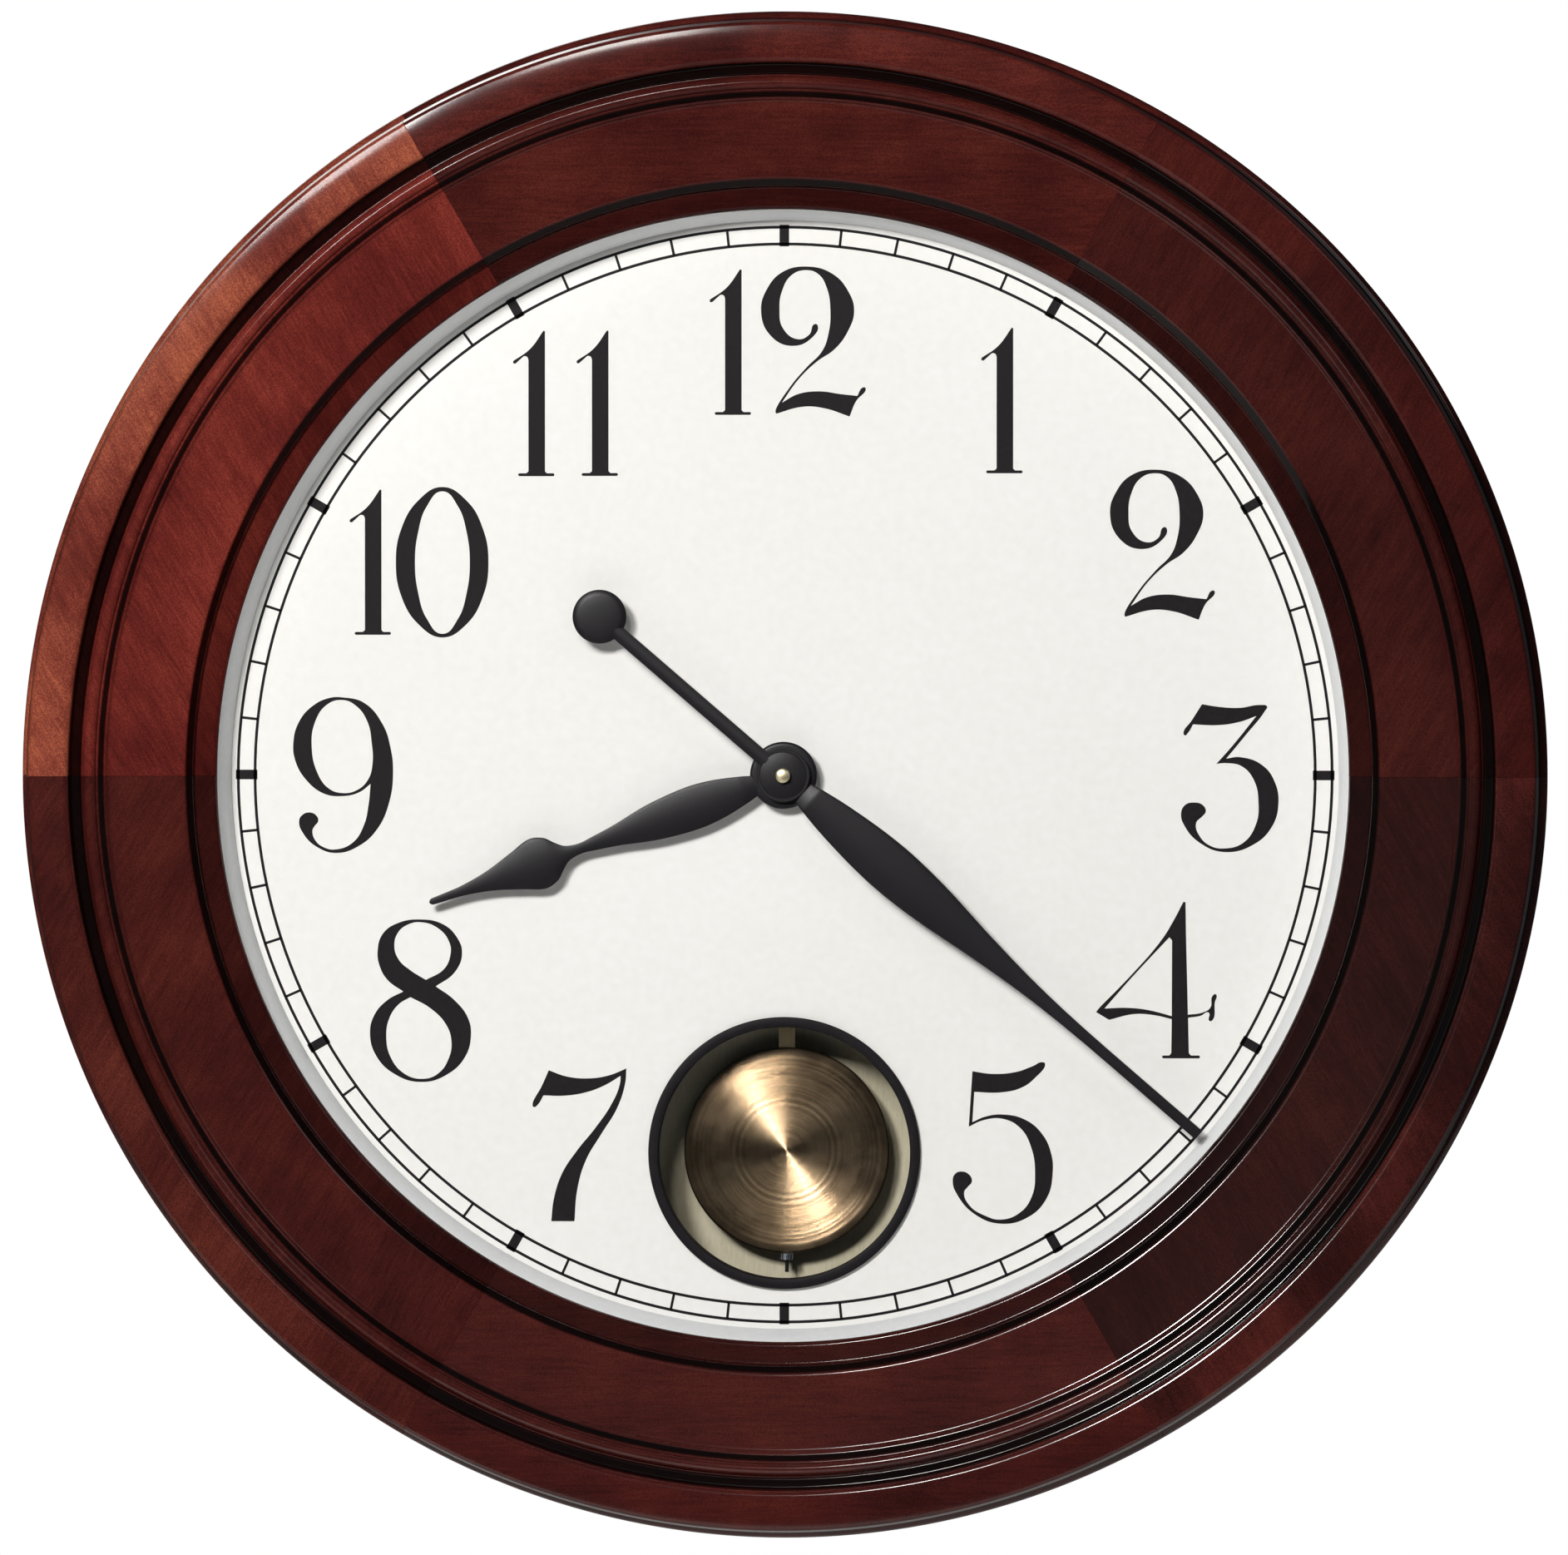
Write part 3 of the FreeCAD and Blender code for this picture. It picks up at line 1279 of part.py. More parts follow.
def makeHanger():
    body = newBody("pendulum_hanger")
    arm = squareBox("0 - hangerHalf", "hangerHalf", "hangerLow", "pivotHeight")
    pad(body, "hangerArm", "hangerBack", "hangerThick", [arm])
    eye = ("0", "pivotHeight", "hangerEye")
    pad(body, "hangerEye", "hangerBack", "hangerThick", [eye])
    bore = ("0", "pivotHeight", "hangerBore")
    pocket(body, "hangerBore", "hangerBack + hangerThick + overcut", "hangerThick + overcut * 2", [bore])
    slot = squareBox(
        "0 - hangerHalf - overcut", "hangerHalf + overcut", "hangerLow - overcut", "hangerSlotHigh"
    )
    pocket(body, "rodSlot", "hangerSlotFront", "hangerSlotFront - hangerSlotBack", [slot])
    subPart(body, "pendulum_hanger")
    platePart(
        "pendulum_magnet",
        "hangerBack + hangerThick",
        "magnetThick",
        [("0", "driveHeight", "magnetRadius")],
    )


def makeRod():
    strip = squareBox("0 - rodHalf", "rodHalf", "rodLow", "rodHigh")
    platePart("pendulum_rod", "rodBack", "rodThick", [strip])
    # the screw is a thin stub that goes down from the end of the rod
    middle = Vector(0, size("screwLow"), size("rodBack") + size("rodThick") / 2)
    upward = Vector(0, 1, 0)
    tall = size("rodLow") - size("screwLow")
    shaped("rating_screw", Part.makeCylinder(size("screwRadius"), tall, middle, upward))
    base = Vector(0, size("ratingHigh") - size("ratingTall"), middle.z)
    nut = Part.makeCylinder(size("ratingRadius"), size("ratingTall"), base, upward)
    bore = Part.makeCylinder(
        size("ratingBore"), size("ratingTall") + beyond * 2, base - upward * beyond, upward
    )
    nut = nut.cut(bore)
    count = int(size("ratingFlutes"))
    for number in range(count):
        turn = 2 * math.pi * number / count
        outward = Vector(math.cos(turn), 0, math.sin(turn)) * size("ratingRadius")
        start = base - upward * beyond + outward
        flute = Part.makeCylinder(size("ratingFluteRadius"), size("ratingTall") + beyond * 2, start, upward)
        nut = nut.cut(flute)
    shaped("rating_nut", nut)


def makeBob():
    # a spun brass dish, slightly domed, closed behind by a flat disc
    body = newBody("bob_face")
    rise = "( bobCrown - bobShoulder )"
    round = f"( bobRadius ^ 2 + {rise} ^ 2 ) / ( 2 * {rise} )"
    dish = [
        ("bobRadius", "bobBack"),
        ("bobRadius", "bobShoulder", round),
        ("0", "bobCrown"),
        ("0", "bobCrown - bobWall"),
        ("bobRadius - bobWall", "bobShoulder - bobWall"),
        ("bobRadius - bobWall", "bobBack"),
    ]
    turned(body, "bobDish", dish)
    notch = squareBox(
        "0 - bobNotch", "bobNotch", "0 - bobRadius - overcut", "bobRadius + overcut"
    )
    pocket(body, "rodNotch", "rodBack + rodThick + notchPlay", "rodThick + notchPlay * 2", [notch])
    spot = upright.multiply(
        FreeCAD.Placement(Vector(0, size("windowHeight"), 0), FreeCAD.Rotation())
    )
    subPart(body, "bob_face", spot)
    platePart(
        "bob_backing", "bobBack", "backingThick", [("0", "windowHeight", "backingRadius")]
    )


# ---- hands ----


def acrossMiddle(point):
    return Vector(-point.x, point.y, point.z)


def bladeShape(stations, length, depth, thick):
    # a blade along y, mirrored about its middle: smooth sides through its stations, then
    # straight to a square end at its length, or to a round end where the stations reach it
    right = [Vector(half, reach, depth) for reach, half in stations]
    side = Part.BSplineCurve()
    side.interpolate(right)
    otherSide = Part.BSplineCurve()
    otherSide.interpolate([acrossMiddle(point) for point in right])
    edges = [side, otherSide, Part.LineSegment(acrossMiddle(right[0]), right[0])]
    top = right[-1]
    if length > top.y + top.x:
        corner = Vector(top.x, length, depth)
        edges.append(Part.LineSegment(top, corner))
        edges.append(Part.LineSegment(corner, acrossMiddle(corner)))
        edges.append(Part.LineSegment(acrossMiddle(corner), acrossMiddle(top)))
    else:
        edges.append(Part.Arc(top, Vector(0, top.y + top.x, depth), acrossMiddle(top)))
    wire = Part.Wire(Part.__sortEdges__([edge.toShape() for edge in edges]))
    return Part.Face(wire).extrude(Vector(0, 0, thick))


def handPlacement(degreesAlias):
    turn = FreeCAD.Rotation(Vector(0, 0, 1), -size(degreesAlias))
    return upright.multiply(FreeCAD.Placement(Vector(0, 0, 0), turn))


def makeMinuteHand():
    back = size("minuteBackFace")
    thick = size("handThick")
    blade = bladeShape(minuteStations, size("minuteLength"), back, thick)
    hub = rod(size("minuteHub"), back, back + thick)
    half = size("tailHalf")
    tail = Part.makeBox(
        half * 2, -size("tailCentre"), thick, Vector(-half, size("tailCentre"), back)
    )
    disc = rod(size("tailRadius"), back, back + thick, Vector(0, size("tailCentre"), 0))
    eye = rod(size("minuteEye"), back - beyond, back + thick + beyond)
    shape = hub.fuse([blade, tail, disc]).cut(eye).removeSplitter()
    shaped("minute_hand", shape, handPlacement("minuteDegrees"))


def makeHourHand():
    back = size("hourBackFace")
    thick = size("handThick")
    neck = hourSpadeStations[0][0]
    leaf = bladeShape(hourLeafStations, neck, back, thick)
    spade = bladeShape(hourSpadeStations, neck, back, thick)
    hub = rod(size("hourHub"), back, back + thick)
    eye = rod(size("hourEye"), back - beyond, back + thick + beyond)
    shape = hub.fuse([leaf, spade]).cut(eye).removeSplitter()
    shaped("hour_hand", shape, handPlacement("hourDegrees"))


def makeHandFittings():
    collet = [
        ("collarBore", "collarBack"),
        ("collarFlange", "collarBack"),
        ("collarFlange", "hourBackFace"),
        ("collarRadius", "hourBackFace"),
        ("collarRadius", "hourFront"),
        ("collarBore", "hourFront"),
    ]
    turnedPart("hour_hand_collet", collet)
    bush = [
        ("minuteEye", "spacerBack"),
        ("spacerRadius", "spacerBack"),
        ("spacerRadius", "minuteBackFace"),
        ("minuteEye", "minuteBackFace"),
    ]
    turnedPart("minute_hand_bush", bush)
    # closed nut that hides the end of the arbor
    cap = [
        ("minuteEye", "minuteBackFace + handThick"),
        ("capRadius", "minuteBackFace + handThick"),
        ("capRadius", "capFront"),
        ("capRadius - capEase", "capTop"),
        ("0", "capTop"),
        ("0", "minuteFront + capPlay"),
        ("minuteEye", "minuteFront + capPlay"),
    ]
    turnedPart("cap_nut", cap)


makeRim()
makeHoop()
makeBackPanel()
makeBackPanelScrews()
makeHangerBlock()
makeHangerPlate()
makeHangerScrews()
makeGlassAndLiner()
makeDialBoard()
makeBezel()
makeDialClips()
makeFrontHousing()
makeMidPlate()
makeBackHousing()
makeFixings()
makeCentreWheel()
makeThirdWheel()
makeSecondsWheel()
makeFifthWheel()
makeRotor()
makeSetKnob(makeMotionWheel())
makeHourWheel()
makeStator()
makeMotorCoil()
makeBoard()
makeBattery()
makeContacts()
makePivotPin()
makeHanger()
makeRod()
makeBob()
makeMinuteHand()
makeHourHand()
makeHandFittings()

document.recompute()

failed = [item.Label for item in document.Objects if {"Invalid", "Error"} & set(item.State)]
if failed:
    raise RuntimeError(f"these could not be made: {failed}")
for item in subParts:
    if item.Shape.isNull() or not item.Shape.isValid():
        raise RuntimeError(f"{item.Label} has no valid shape")

os.makedirs("parts", exist_ok=True)
for item in subParts:
    item.Shape.exportStep(f"parts/{item.Label}.step")
print(len(subParts), "sub-parts written")
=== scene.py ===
import bmesh
import bpy
import math
from mathutils import Matrix, Vector


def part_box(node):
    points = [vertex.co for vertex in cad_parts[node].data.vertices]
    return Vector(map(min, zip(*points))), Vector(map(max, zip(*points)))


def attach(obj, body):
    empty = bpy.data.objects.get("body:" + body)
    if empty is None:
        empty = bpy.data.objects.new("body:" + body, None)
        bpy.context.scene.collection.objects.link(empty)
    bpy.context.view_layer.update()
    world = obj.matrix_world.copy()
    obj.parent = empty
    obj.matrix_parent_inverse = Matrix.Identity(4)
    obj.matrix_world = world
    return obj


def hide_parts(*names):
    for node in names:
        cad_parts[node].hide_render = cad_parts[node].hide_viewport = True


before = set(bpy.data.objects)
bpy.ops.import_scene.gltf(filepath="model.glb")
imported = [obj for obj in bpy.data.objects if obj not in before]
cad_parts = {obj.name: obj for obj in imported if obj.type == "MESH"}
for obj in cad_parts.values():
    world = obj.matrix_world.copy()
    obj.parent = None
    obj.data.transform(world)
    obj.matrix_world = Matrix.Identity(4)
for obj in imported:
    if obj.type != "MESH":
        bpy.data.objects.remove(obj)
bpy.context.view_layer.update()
mm = 0.001
facing = Matrix.Rotation(math.radians(90), 4, "X")  # drawn flat, then stood up against the wall
print("frame loaded:", len(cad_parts), "nodes")


def depthOf(node):
    # back and front of a node, as distances from the wall in millimetres
    low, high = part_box(node)
    return -high.y / mm, -low.y / mm


def radiusOf(node):
    low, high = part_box(node)
    return (high.x - low.x) / 2 / mm


def middleOf(node):
    low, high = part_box(node)
    return (low + high) / 2


studio = {
    "distance": 6.0,         # lens to the middle of the clock, metres
    "turn": 2.5,             # degrees to the right of the clock
    "rise": 1.2,             # degrees above it
    "lens": 331.4,
    "aim": (0.0004, -0.055, -0.0008),
    "floor": -0.75,          # height of the floor, and its radius
    "floorSize": 1.5,
    "airLight": 0.05,        # brightness of the room, apart from the lamps
    "airGloss": 0.05,        # the same as it is mirrored in polished parts
}
# name, place, size across, size up, power, colour
lamps = [
    ("keyBox", (-0.66, -1.96, 0.74), 0.34, 0.34, 40, (1.0, 0.99, 0.975)),
    ("topBox", (-0.28, -2.0, 0.84), 0.2, 0.2, 9, (1.0, 0.97, 0.92)),
    ("rightBox", (1.25, -1.5, 1.1), 0.7, 0.7, 2.5, (0.86, 0.93, 1.0)),
    ("lowBox", (-1.0, -1.5, -1.1), 1.0, 0.6, 2.5, (0.9, 0.95, 1.0)),
    ("backBox", (-0.9, 1.9, 1.3), 1.2, 1.2, 30, (1.0, 0.98, 0.95)),
]


def aimed(item, target):
    item.rotation_euler = (Vector(target) - item.location).to_track_quat("-Z", "Y").to_euler()


def makeStudio():
    turn = math.radians(studio["turn"])
    rise = math.radians(studio["rise"])
    away = Vector((math.sin(turn) * math.cos(rise), -math.cos(turn) * math.cos(rise), math.sin(rise)))
    camera = bpy.data.objects.new("camera", bpy.data.cameras.new("camera"))
    camera.data.lens = studio["lens"]
    camera.data.sensor_width = 36
    camera.location = Vector(studio["aim"]) + away * studio["distance"]
    aimed(camera, studio["aim"])
    bpy.context.collection.objects.link(camera)
    bpy.context.scene.camera = camera
    for name, place, across, up, power, colour in lamps:
        data = bpy.data.lights.new(name, "AREA")
        data.shape = "RECTANGLE"
        data.size = across
        data.size_y = up
        data.energy = power
        data.color = colour
        lamp = bpy.data.objects.new(name, data)
        lamp.location = place
        aimed(lamp, (0, -0.05, 0))
        lamp.visible_camera = False
        bpy.context.collection.objects.link(lamp)


def makeWorld():
    # the room is white to the eye and gives a softer light than it shows
    world = bpy.data.worlds.new("room")
    world.use_nodes = True
    bpy.context.scene.world = world
    nodes = world.node_tree.nodes
    shown = nodes["Background"]
    shown.inputs["Color"].default_value = (1, 1, 1, 1)
    given = nodes.new("ShaderNodeBackground")
    given.inputs["Color"].default_value = (0.92, 0.96, 1, 1)
    path = nodes.new("ShaderNodeLightPath")
    air = nodes.new("ShaderNodeMapRange")
    air.inputs[3].default_value = studio["airLight"]
    air.inputs[4].default_value = studio["airGloss"]
    mix = nodes.new("ShaderNodeMixShader")
    links = world.node_tree.links
    links.new(path.outputs["Is Glossy Ray"], air.inputs["Value"])
    links.new(air.outputs[0], given.inputs["Strength"])
    links.new(path.outputs["Is Camera Ray"], mix.inputs[0])
    links.new(given.outputs[0], mix.inputs[1])
    links.new(shown.outputs[0], mix.inputs[2])
    links.new(mix.outputs[0], nodes["World Output"].inputs["Surface"])


bpy.context.scene.view_settings.view_transform = "Standard"
makeStudio()
makeWorld()
print("studio ready")


def tint(red, green, blue):
    # a colour as a paint chart gives it, 0 to 255
    return tuple(((part / 255 + 0.055) / 1.055) ** 2.4 for part in (red, green, blue)) + (1,)


class Value:
    # an output of a shader node; a sum on it adds its Math node
    def __init__(self, finish, socket):
        self.finish = finish
        self.socket = socket

    def worked(self, operation, first, second):
        return self.finish.node("ShaderNodeMath", {"operation": operation}, {0: first, 1: second})

    def __add__(self, other):
        return self.worked("ADD", self, other)

    def __radd__(self, other):
        return self.worked("ADD", other, self)

    def __mul__(self, other):
        return self.worked("MULTIPLY", self, other)

    def __rmul__(self, other):
        return self.worked("MULTIPLY", other, self)


class Finish:
    # a material: constants go straight on its surface shader, patterns come from its methods
    def __init__(self, name, constants):
        self.material = bpy.data.materials.new(name)
        self.material.use_nodes = True
        self.nodes = self.material.node_tree.nodes
        self.surface = self.nodes["Principled BSDF"]
        for socket, constant in constants.items():
            self.surface.inputs[socket].default_value = constant

    def node(self, kind, settings, inputs, output=0):
        made = self.nodes.new(kind)
        for name, setting in settings.items():
            if name == "stops":
                self.setStops(made.color_ramp.elements, setting)
            else:
                setattr(made, name, setting)
        for name, value in inputs.items():
            self.plug(made.inputs[name], value)
        return Value(self, made.outputs[output])

    def plug(self, socket, value):
        if isinstance(value, Value):
            self.material.node_tree.links.new(value.socket, socket)
        else:
            socket.default_value = value

    def setStops(self, elements, stops):
        while len(elements) < len(stops):
            elements.new(0.5)
        for element, (position, colour) in zip(elements, stops):
            element.position = position
            element.color = colour

    def varies(self, **sockets):
        for name, value in sockets.items():
            self.plug(self.surface.inputs[{"colour": "Base Color"}.get(name, name.capitalize())], value)
        return self.material

    def place(self, shift=(0, 0, 0), turn=(0, 0, 0)):
        spot = self.node("ShaderNodeTexCoord", {}, {}, "Object")
        inputs = {"Vector": spot, "Location": shift, "Rotation": turn}
        return self.node("ShaderNodeMapping", {"vector_type": "TEXTURE"}, inputs)

    def vector(self, operation, first, second, output=0):
        return self.node("ShaderNodeVectorMath", {"operation": operation}, {0: first, 1: second}, output)

    def part(self, vector, axis):
        return self.node("ShaderNodeSeparateXYZ", {}, {0: vector}, axis)

    def noise(self, vector, scale, detail=2, roughness=0.5):
        inputs = {"Vector": vector, "Scale": scale, "Detail": detail, "Roughness": roughness}
        return self.node("ShaderNodeTexNoise", {}, inputs)

    def ramp(self, value, stops):
        return self.node("ShaderNodeValToRGB", {"stops": stops}, {0: value})

    def step(self, value, low, high, first=0.0, last=1.0):
        inputs = {"Value": value, 1: low, 2: high, 3: first, 4: last}
        return self.node("ShaderNodeMapRange", {"interpolation_type": "SMOOTHSTEP"}, inputs)

    def mix(self, factor, first, second, blend="MIX"):
        settings = {"data_type": "RGBA", "blend_type": blend}
        return self.node("ShaderNodeMix", settings, {0: factor, 6: first, 7: second}, 2)

    def bump(self, height, depth, strength=1.0):
        inputs = {"Height": height, "Distance": depth, "Strength": strength}
        return self.node("ShaderNodeBump", {}, inputs)


def wireOf(bm, outline, closed):
    # vertices at (radius, depth) from the axis of the hands, in millimetres
    corners = [bm.verts.new((radius * mm, -depth * mm, 0)) for radius, depth in outline]
    edges = [bm.edges.new(pair) for pair in zip(corners, corners[1:])]
    if closed:
        edges.append(bm.edges.new((corners[-1], corners[0])))
    return corners + edges


def arc(radius, depth, bend, start, end, steps):
    # points on a moulding's curve of radius bend, degrees from outwards towards the front
    turns = [math.radians(start + (end - start) * step / steps) for step in range(steps + 1)]
    return [(radius + bend * math.cos(turn), depth + bend * math.sin(turn)) for turn in turns]


def softened(outline, cut):
    # each sharp corner of an outline becomes a short curve
    made = []
    for index, corner in enumerate(outline):
        spot = Vector(corner)
        before = Vector(outline[index - 1]) - spot
        after = Vector(outline[(index + 1) % len(outline)]) - spot
        if before.angle(after) > math.radians(155):
            made.append(corner)
            continue
        start = spot + before.normalized() * min(cut, before.length * 0.45)
        end = spot + after.normalized() * min(cut, after.length * 0.45)
        for part in (0, 0.33, 0.67, 1):
            made.append(tuple(start * (1 - part) ** 2 + spot * 2 * part * (1 - part) + end * part**2))
    return made


def spun(outline, steps, closed=True, sector=360, centre=(0, 0, 0)):
    bm = bmesh.new()
    wire = wireOf(bm, outline, closed)
    bmesh.ops.spin(
        bm,
        geom=wire,
        axis=(0, -1, 0),
        cent=(0, 0, 0),
        angle=math.radians(sector),
        steps=steps,
        use_merge=sector == 360,
    )
    if sector != 360:
        bmesh.ops.holes_fill(bm, edges=bm.edges)
    bmesh.ops.remove_doubles(bm, verts=bm.verts, dist=1e-6)
    bmesh.ops.recalc_face_normals(bm, faces=bm.faces)
    bmesh.ops.translate(bm, verts=bm.verts, vec=centre)
    return bm


def eased(bm, edges, offset, segments=2):
    bmesh.ops.bevel(
        bm,
        geom=edges,
        offset=offset,
        offset_type="OFFSET",
        affect="EDGES",
        segments=segments,
        profile=0.5,
        material=-1,
        clamp_overlap=True,
    )


def sharpEdges(bm, degrees):
    limit = math.radians(degrees)
    return [edge for edge in bm.edges if edge.is_manifold and edge.calc_face_angle() > limit]


def joinedMesh(bm, other):
    mesh = bpy.data.meshes.new("scratch")
    other.to_mesh(mesh)
    other.free()
    bm.from_mesh(mesh)
    bpy.data.meshes.remove(mesh)


def finished(bm, name, body, material, replaced=()):
    mesh = bpy.data.meshes.new(name)
    bm.to_mesh(mesh)
    bm.free()
    mesh.shade_smooth()
    mesh.set_sharp_from_angle(angle=math.radians(38))
    mesh.materials.append(material)
    piece = bpy.data.objects.new(name, mesh)
    bpy.context.collection.objects.link(piece)
    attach(piece, body)
    if replaced:
        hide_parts(*replaced)
    return piece


def coat(material, *nodes):
    # CAD nodes whose shape is right keep it and take a finish
    for name in nodes:
        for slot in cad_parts[name].material_slots:
            slot.material = material


rim = {
    "steps": 56,                 # steps in the sixth of a turn that each segment takes
    "ease": 0.9,                 # rounding of the turned edges, millimetres
    "seam": 0.00012,             # eased edge at the glued joints, metres
    "bead": 2.7,                 # radii of the small bead, the roll's inner and outer shoulder
    "shoulder": 3.2,             # and the bead round the side, millimetres
    "brow": 1.7,
    "sideBead": 3.15,
    # the rest go anticlockwise from three o'clock, a value for each segment; the tones are partly the
    # wood's own and partly painted light, lighter on the upper left segment and darker at the lower right,
    # and the share of painted glints follows the same light
    "tonesAndLight": (0.64, 0.74, 1.12, 0.72, 0.72, 0.5),
    "glintShare": (0.3, 0.2, 0.8, 0.5, 0.35, 0.1),
    "polish": (0.45, 0.25, 0.12, 0.4, 0.8, 0.9),
    "rollLight": (                  # how much lighter the roll is painted on each segment: painted light where the lamps catch it
        (1.2, 1.0, 1.0),
        (1.4, 1.35, 1.3),
        (1.75, 2.9, 2.2),
        (1.3, 1.45, 1.35),
        (1.0, 0.9, 0.9),
        (2.3, 1.95, 1.9),
    ),
}


def rimOutline():
    # rabbet, lip, inner band, wide band, small bead, big roll, side and edge bead
    back, front = depthOf("rim_segment_1")
    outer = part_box("rim_segment_1")[1].x / mm
    outline = [(243, back), (243, 63.8), (235, 63.8), (235, 66), (236.2, 67.4), (244.4, 67.8), (244.4, 70)]
    outline += [(248.2, 73), (279.7, 75.4), (280.8, 77.2), (284.6, 77.2)]
    outline += arc(287.3, 77.2, rim["bead"], 172, 8, 8)
    outline += [(290.6, 77.3), (290.9, 78.4), (295.0, 78.4)]
    # the roll has tight shoulders and a top that falls a little outwards
    outline += arc(298.6, front - rim["shoulder"], rim["shoulder"], 178, 94, 8)
    outline += arc(310.8, front - 2.4, rim["brow"], 86, 6, 6)
    outline += [(313.1, 76.4), (313.6, 75), (313.6, 55), (314.2, 54.2)]
    outline += arc(outer - 3.19, 51, rim["sideBead"], 66, -66, 8)
    outline += [(314.2, 47.6), (314, 46.6), (314, back)]
    return softened(outline, rim["ease"])


def cherryWood(number):
    # stained and lacquered cherry; the grain runs along the middle of the segment
    share = math.radians(60)
    turn = number * share + share / 2 + math.radians(90)
    toneAndLight = rim["tonesAndLight"][number]
    lacquer = {"Coat Weight": rim["polish"][number], "Coat Roughness": 0.1, "Coat IOR": 1.55}
    finish = Finish(f"cherryWood{number + 1}", {**lacquer, "Specular IOR Level": 0.01})
    board = finish.place(turn=(0, turn, 0), shift=(0.013 * number, 0.07 * number, 0.021 * number))
    streaks = finish.vector("MULTIPLY", board, (9, 150, 150))
    fibre = finish.vector("MULTIPLY", board, (70, 900, 900))
    speck = finish.vector("MULTIPLY", board, (1500, 1700, 1700))
    figure = finish.noise(board, 13, 4, 0.6)
    grain = finish.noise(streaks, 1, 4, 0.62)
    fine = finish.noise(fibre, 1, 3, 0.65)
    fleck = finish.noise(speck, 1, 2, 0.6)
    # the segment's tone scales these colours: partly the wood's own tone, partly painted light
    dark = tint(34 * toneAndLight, 10 * toneAndLight, 10 * toneAndLight)
    middle = tint(84 * toneAndLight, 28 * toneAndLight, 25 * toneAndLight)
    light = tint(126 * toneAndLight, 54 * toneAndLight, 42 * toneAndLight)
    blend = figure * 0.28 + grain * 0.12 + fine * 0.14 + fleck * 0.46
    colour = finish.ramp(blend, [(0.38, dark), (0.5, middle), (0.63, light)])
    spots = finish.step(fleck, 0.56, 0.72)
    colour = finish.mix(spots * 0.7, colour, dark)
    # painted glints: lighter flecks, with a larger share on the left segments and the smallest at the lower
    # right
    glints = finish.step(fleck, 0.44, 0.3)
    colour = finish.mix(glints * (0.2 * rim["glintShare"][number] + 0.22), colour, light)
    # painted shade: the quirks are painted near black, over stain that gathers there, and the lip and inner
    # band are darker; painted light: the roll and the side bead are painted lighter in patches, more on
    # some segments
    spot = finish.node("ShaderNodeTexCoord", {}, {}, "Object")
    flat = finish.vector("MULTIPLY", spot, (1, 0, 1))
    radius = finish.vector("LENGTH", flat, (0, 0, 0), "Value")
    span = {"Value": radius, 1: 0.235, 2: 0.319}
    bandRadius = finish.node("ShaderNodeMapRange", {"interpolation_type": "LINEAR"}, span)
    # black paints shade into the quirks; the second set of stops paints light onto the roll and the side
    # bead
    black = (0.06, 0.05, 0.05, 1)
    deep = (0.5, 0.46, 0.46, 1)
    clear = (1, 1, 1, 1)
    bands = []
    for roll in (clear, (*rim["rollLight"][number], 1)):
        stops = [(0.0, deep), (0.112, deep), (0.12, black), (0.146, black), (0.155, clear)]
        stops += [(0.547, clear), (0.555, black), (0.577, black), (0.585, clear), (0.656, clear)]
        stops += [(0.666, black), (0.716, black), (0.726, roll), (0.93, roll), (0.94, black), (0.955, roll)]
        bands.append(finish.ramp(bandRadius, stops))
    patches = finish.step(figure * 0.8 + fleck * 0.2, 0.4, 0.6, 0.3, 1)
    colour = finish.mix(1.0, colour, finish.mix(patches, bands[0], bands[1]), "MULTIPLY")
    height = fine * 0.5 + fleck * 0.35 + figure * 0.6
    return finish.varies(
        colour=colour,
        roughness=finish.step(fine, 0.2, 0.8, 0.3, 0.42),
        normal=finish.bump(height, 0.00018, 0.5),
    )


def makeRim():
    outline = rimOutline()
    for number in range(6):
        bm = spun(outline, rim["steps"], sector=60)
        ends = {edge for face in bm.faces if len(face.verts) > 8 for edge in face.edges}
        eased(bm, list(ends), rim["seam"], 1)
        turn = Matrix.Rotation(math.radians(-60 * number), 4, "Y")
        bmesh.ops.transform(bm, matrix=turn, verts=bm.verts)
        name = f"rimSegment{number + 1}"
        finished(bm, name, "root", cherryWood(number), [f"rim_segment_{number + 1}"])


makeRim()
print("rim turned")


def stainedWood(name, dark, middle, light, stretch):
    finish = Finish(name, {"Coat Weight": 0.2, "Coat Roughness": 0.3})
    board = finish.place()
    streaks = finish.vector("MULTIPLY", board, stretch)
    figure = finish.noise(board, 9, 4, 0.6)
    grain = finish.noise(streaks, 1, 5, 0.65)
    blend = figure * 0.4 + grain * 0.6
    colour = finish.ramp(blend, [(0.32, dark), (0.5, middle), (0.7, light)])
    pores = finish.step(finish.noise(streaks, 3, 2, 0.5), 0.6, 0.75)
    colour = finish.mix(pores * 0.4, colour, dark)
    return finish.varies(
        colour=colour,
        roughness=finish.step(grain, 0.2, 0.8, 0.42, 0.6),
        normal=finish.bump(grain + pores * 0.4, 0.0002, 0.5),
    )


def hardboard():
    # beige faced board with a faint fibre
    finish = Finish("hardboard", {"Specular IOR Level": 0.3})
    board = finish.place()
    fibre = finish.noise(finish.vector("MULTIPLY", board, (600, 600, 160)), 1, 4, 0.7)
    cloud = finish.noise(board, 16, 3, 0.55)
    colour = finish.ramp(
        cloud * 0.5 + fibre * 0.5,
        [(0.3, tint(182, 173, 146)), (0.5, tint(202, 194, 168)), (0.7, tint(216, 209, 186))],
    )
    return finish.varies(
        colour=colour,
        roughness=finish.step(fibre, 0.25, 0.75, 0.7, 0.86),
        normal=finish.bump(fibre, 0.00012, 0.5),
    )


# ease in metres, the rest in millimetres; the back panel sits in the rebate, against the ledge
hoop = {"steps": 192, "ease": 0.0006, "inner": 250, "rebate": 257, "ledge": 7}


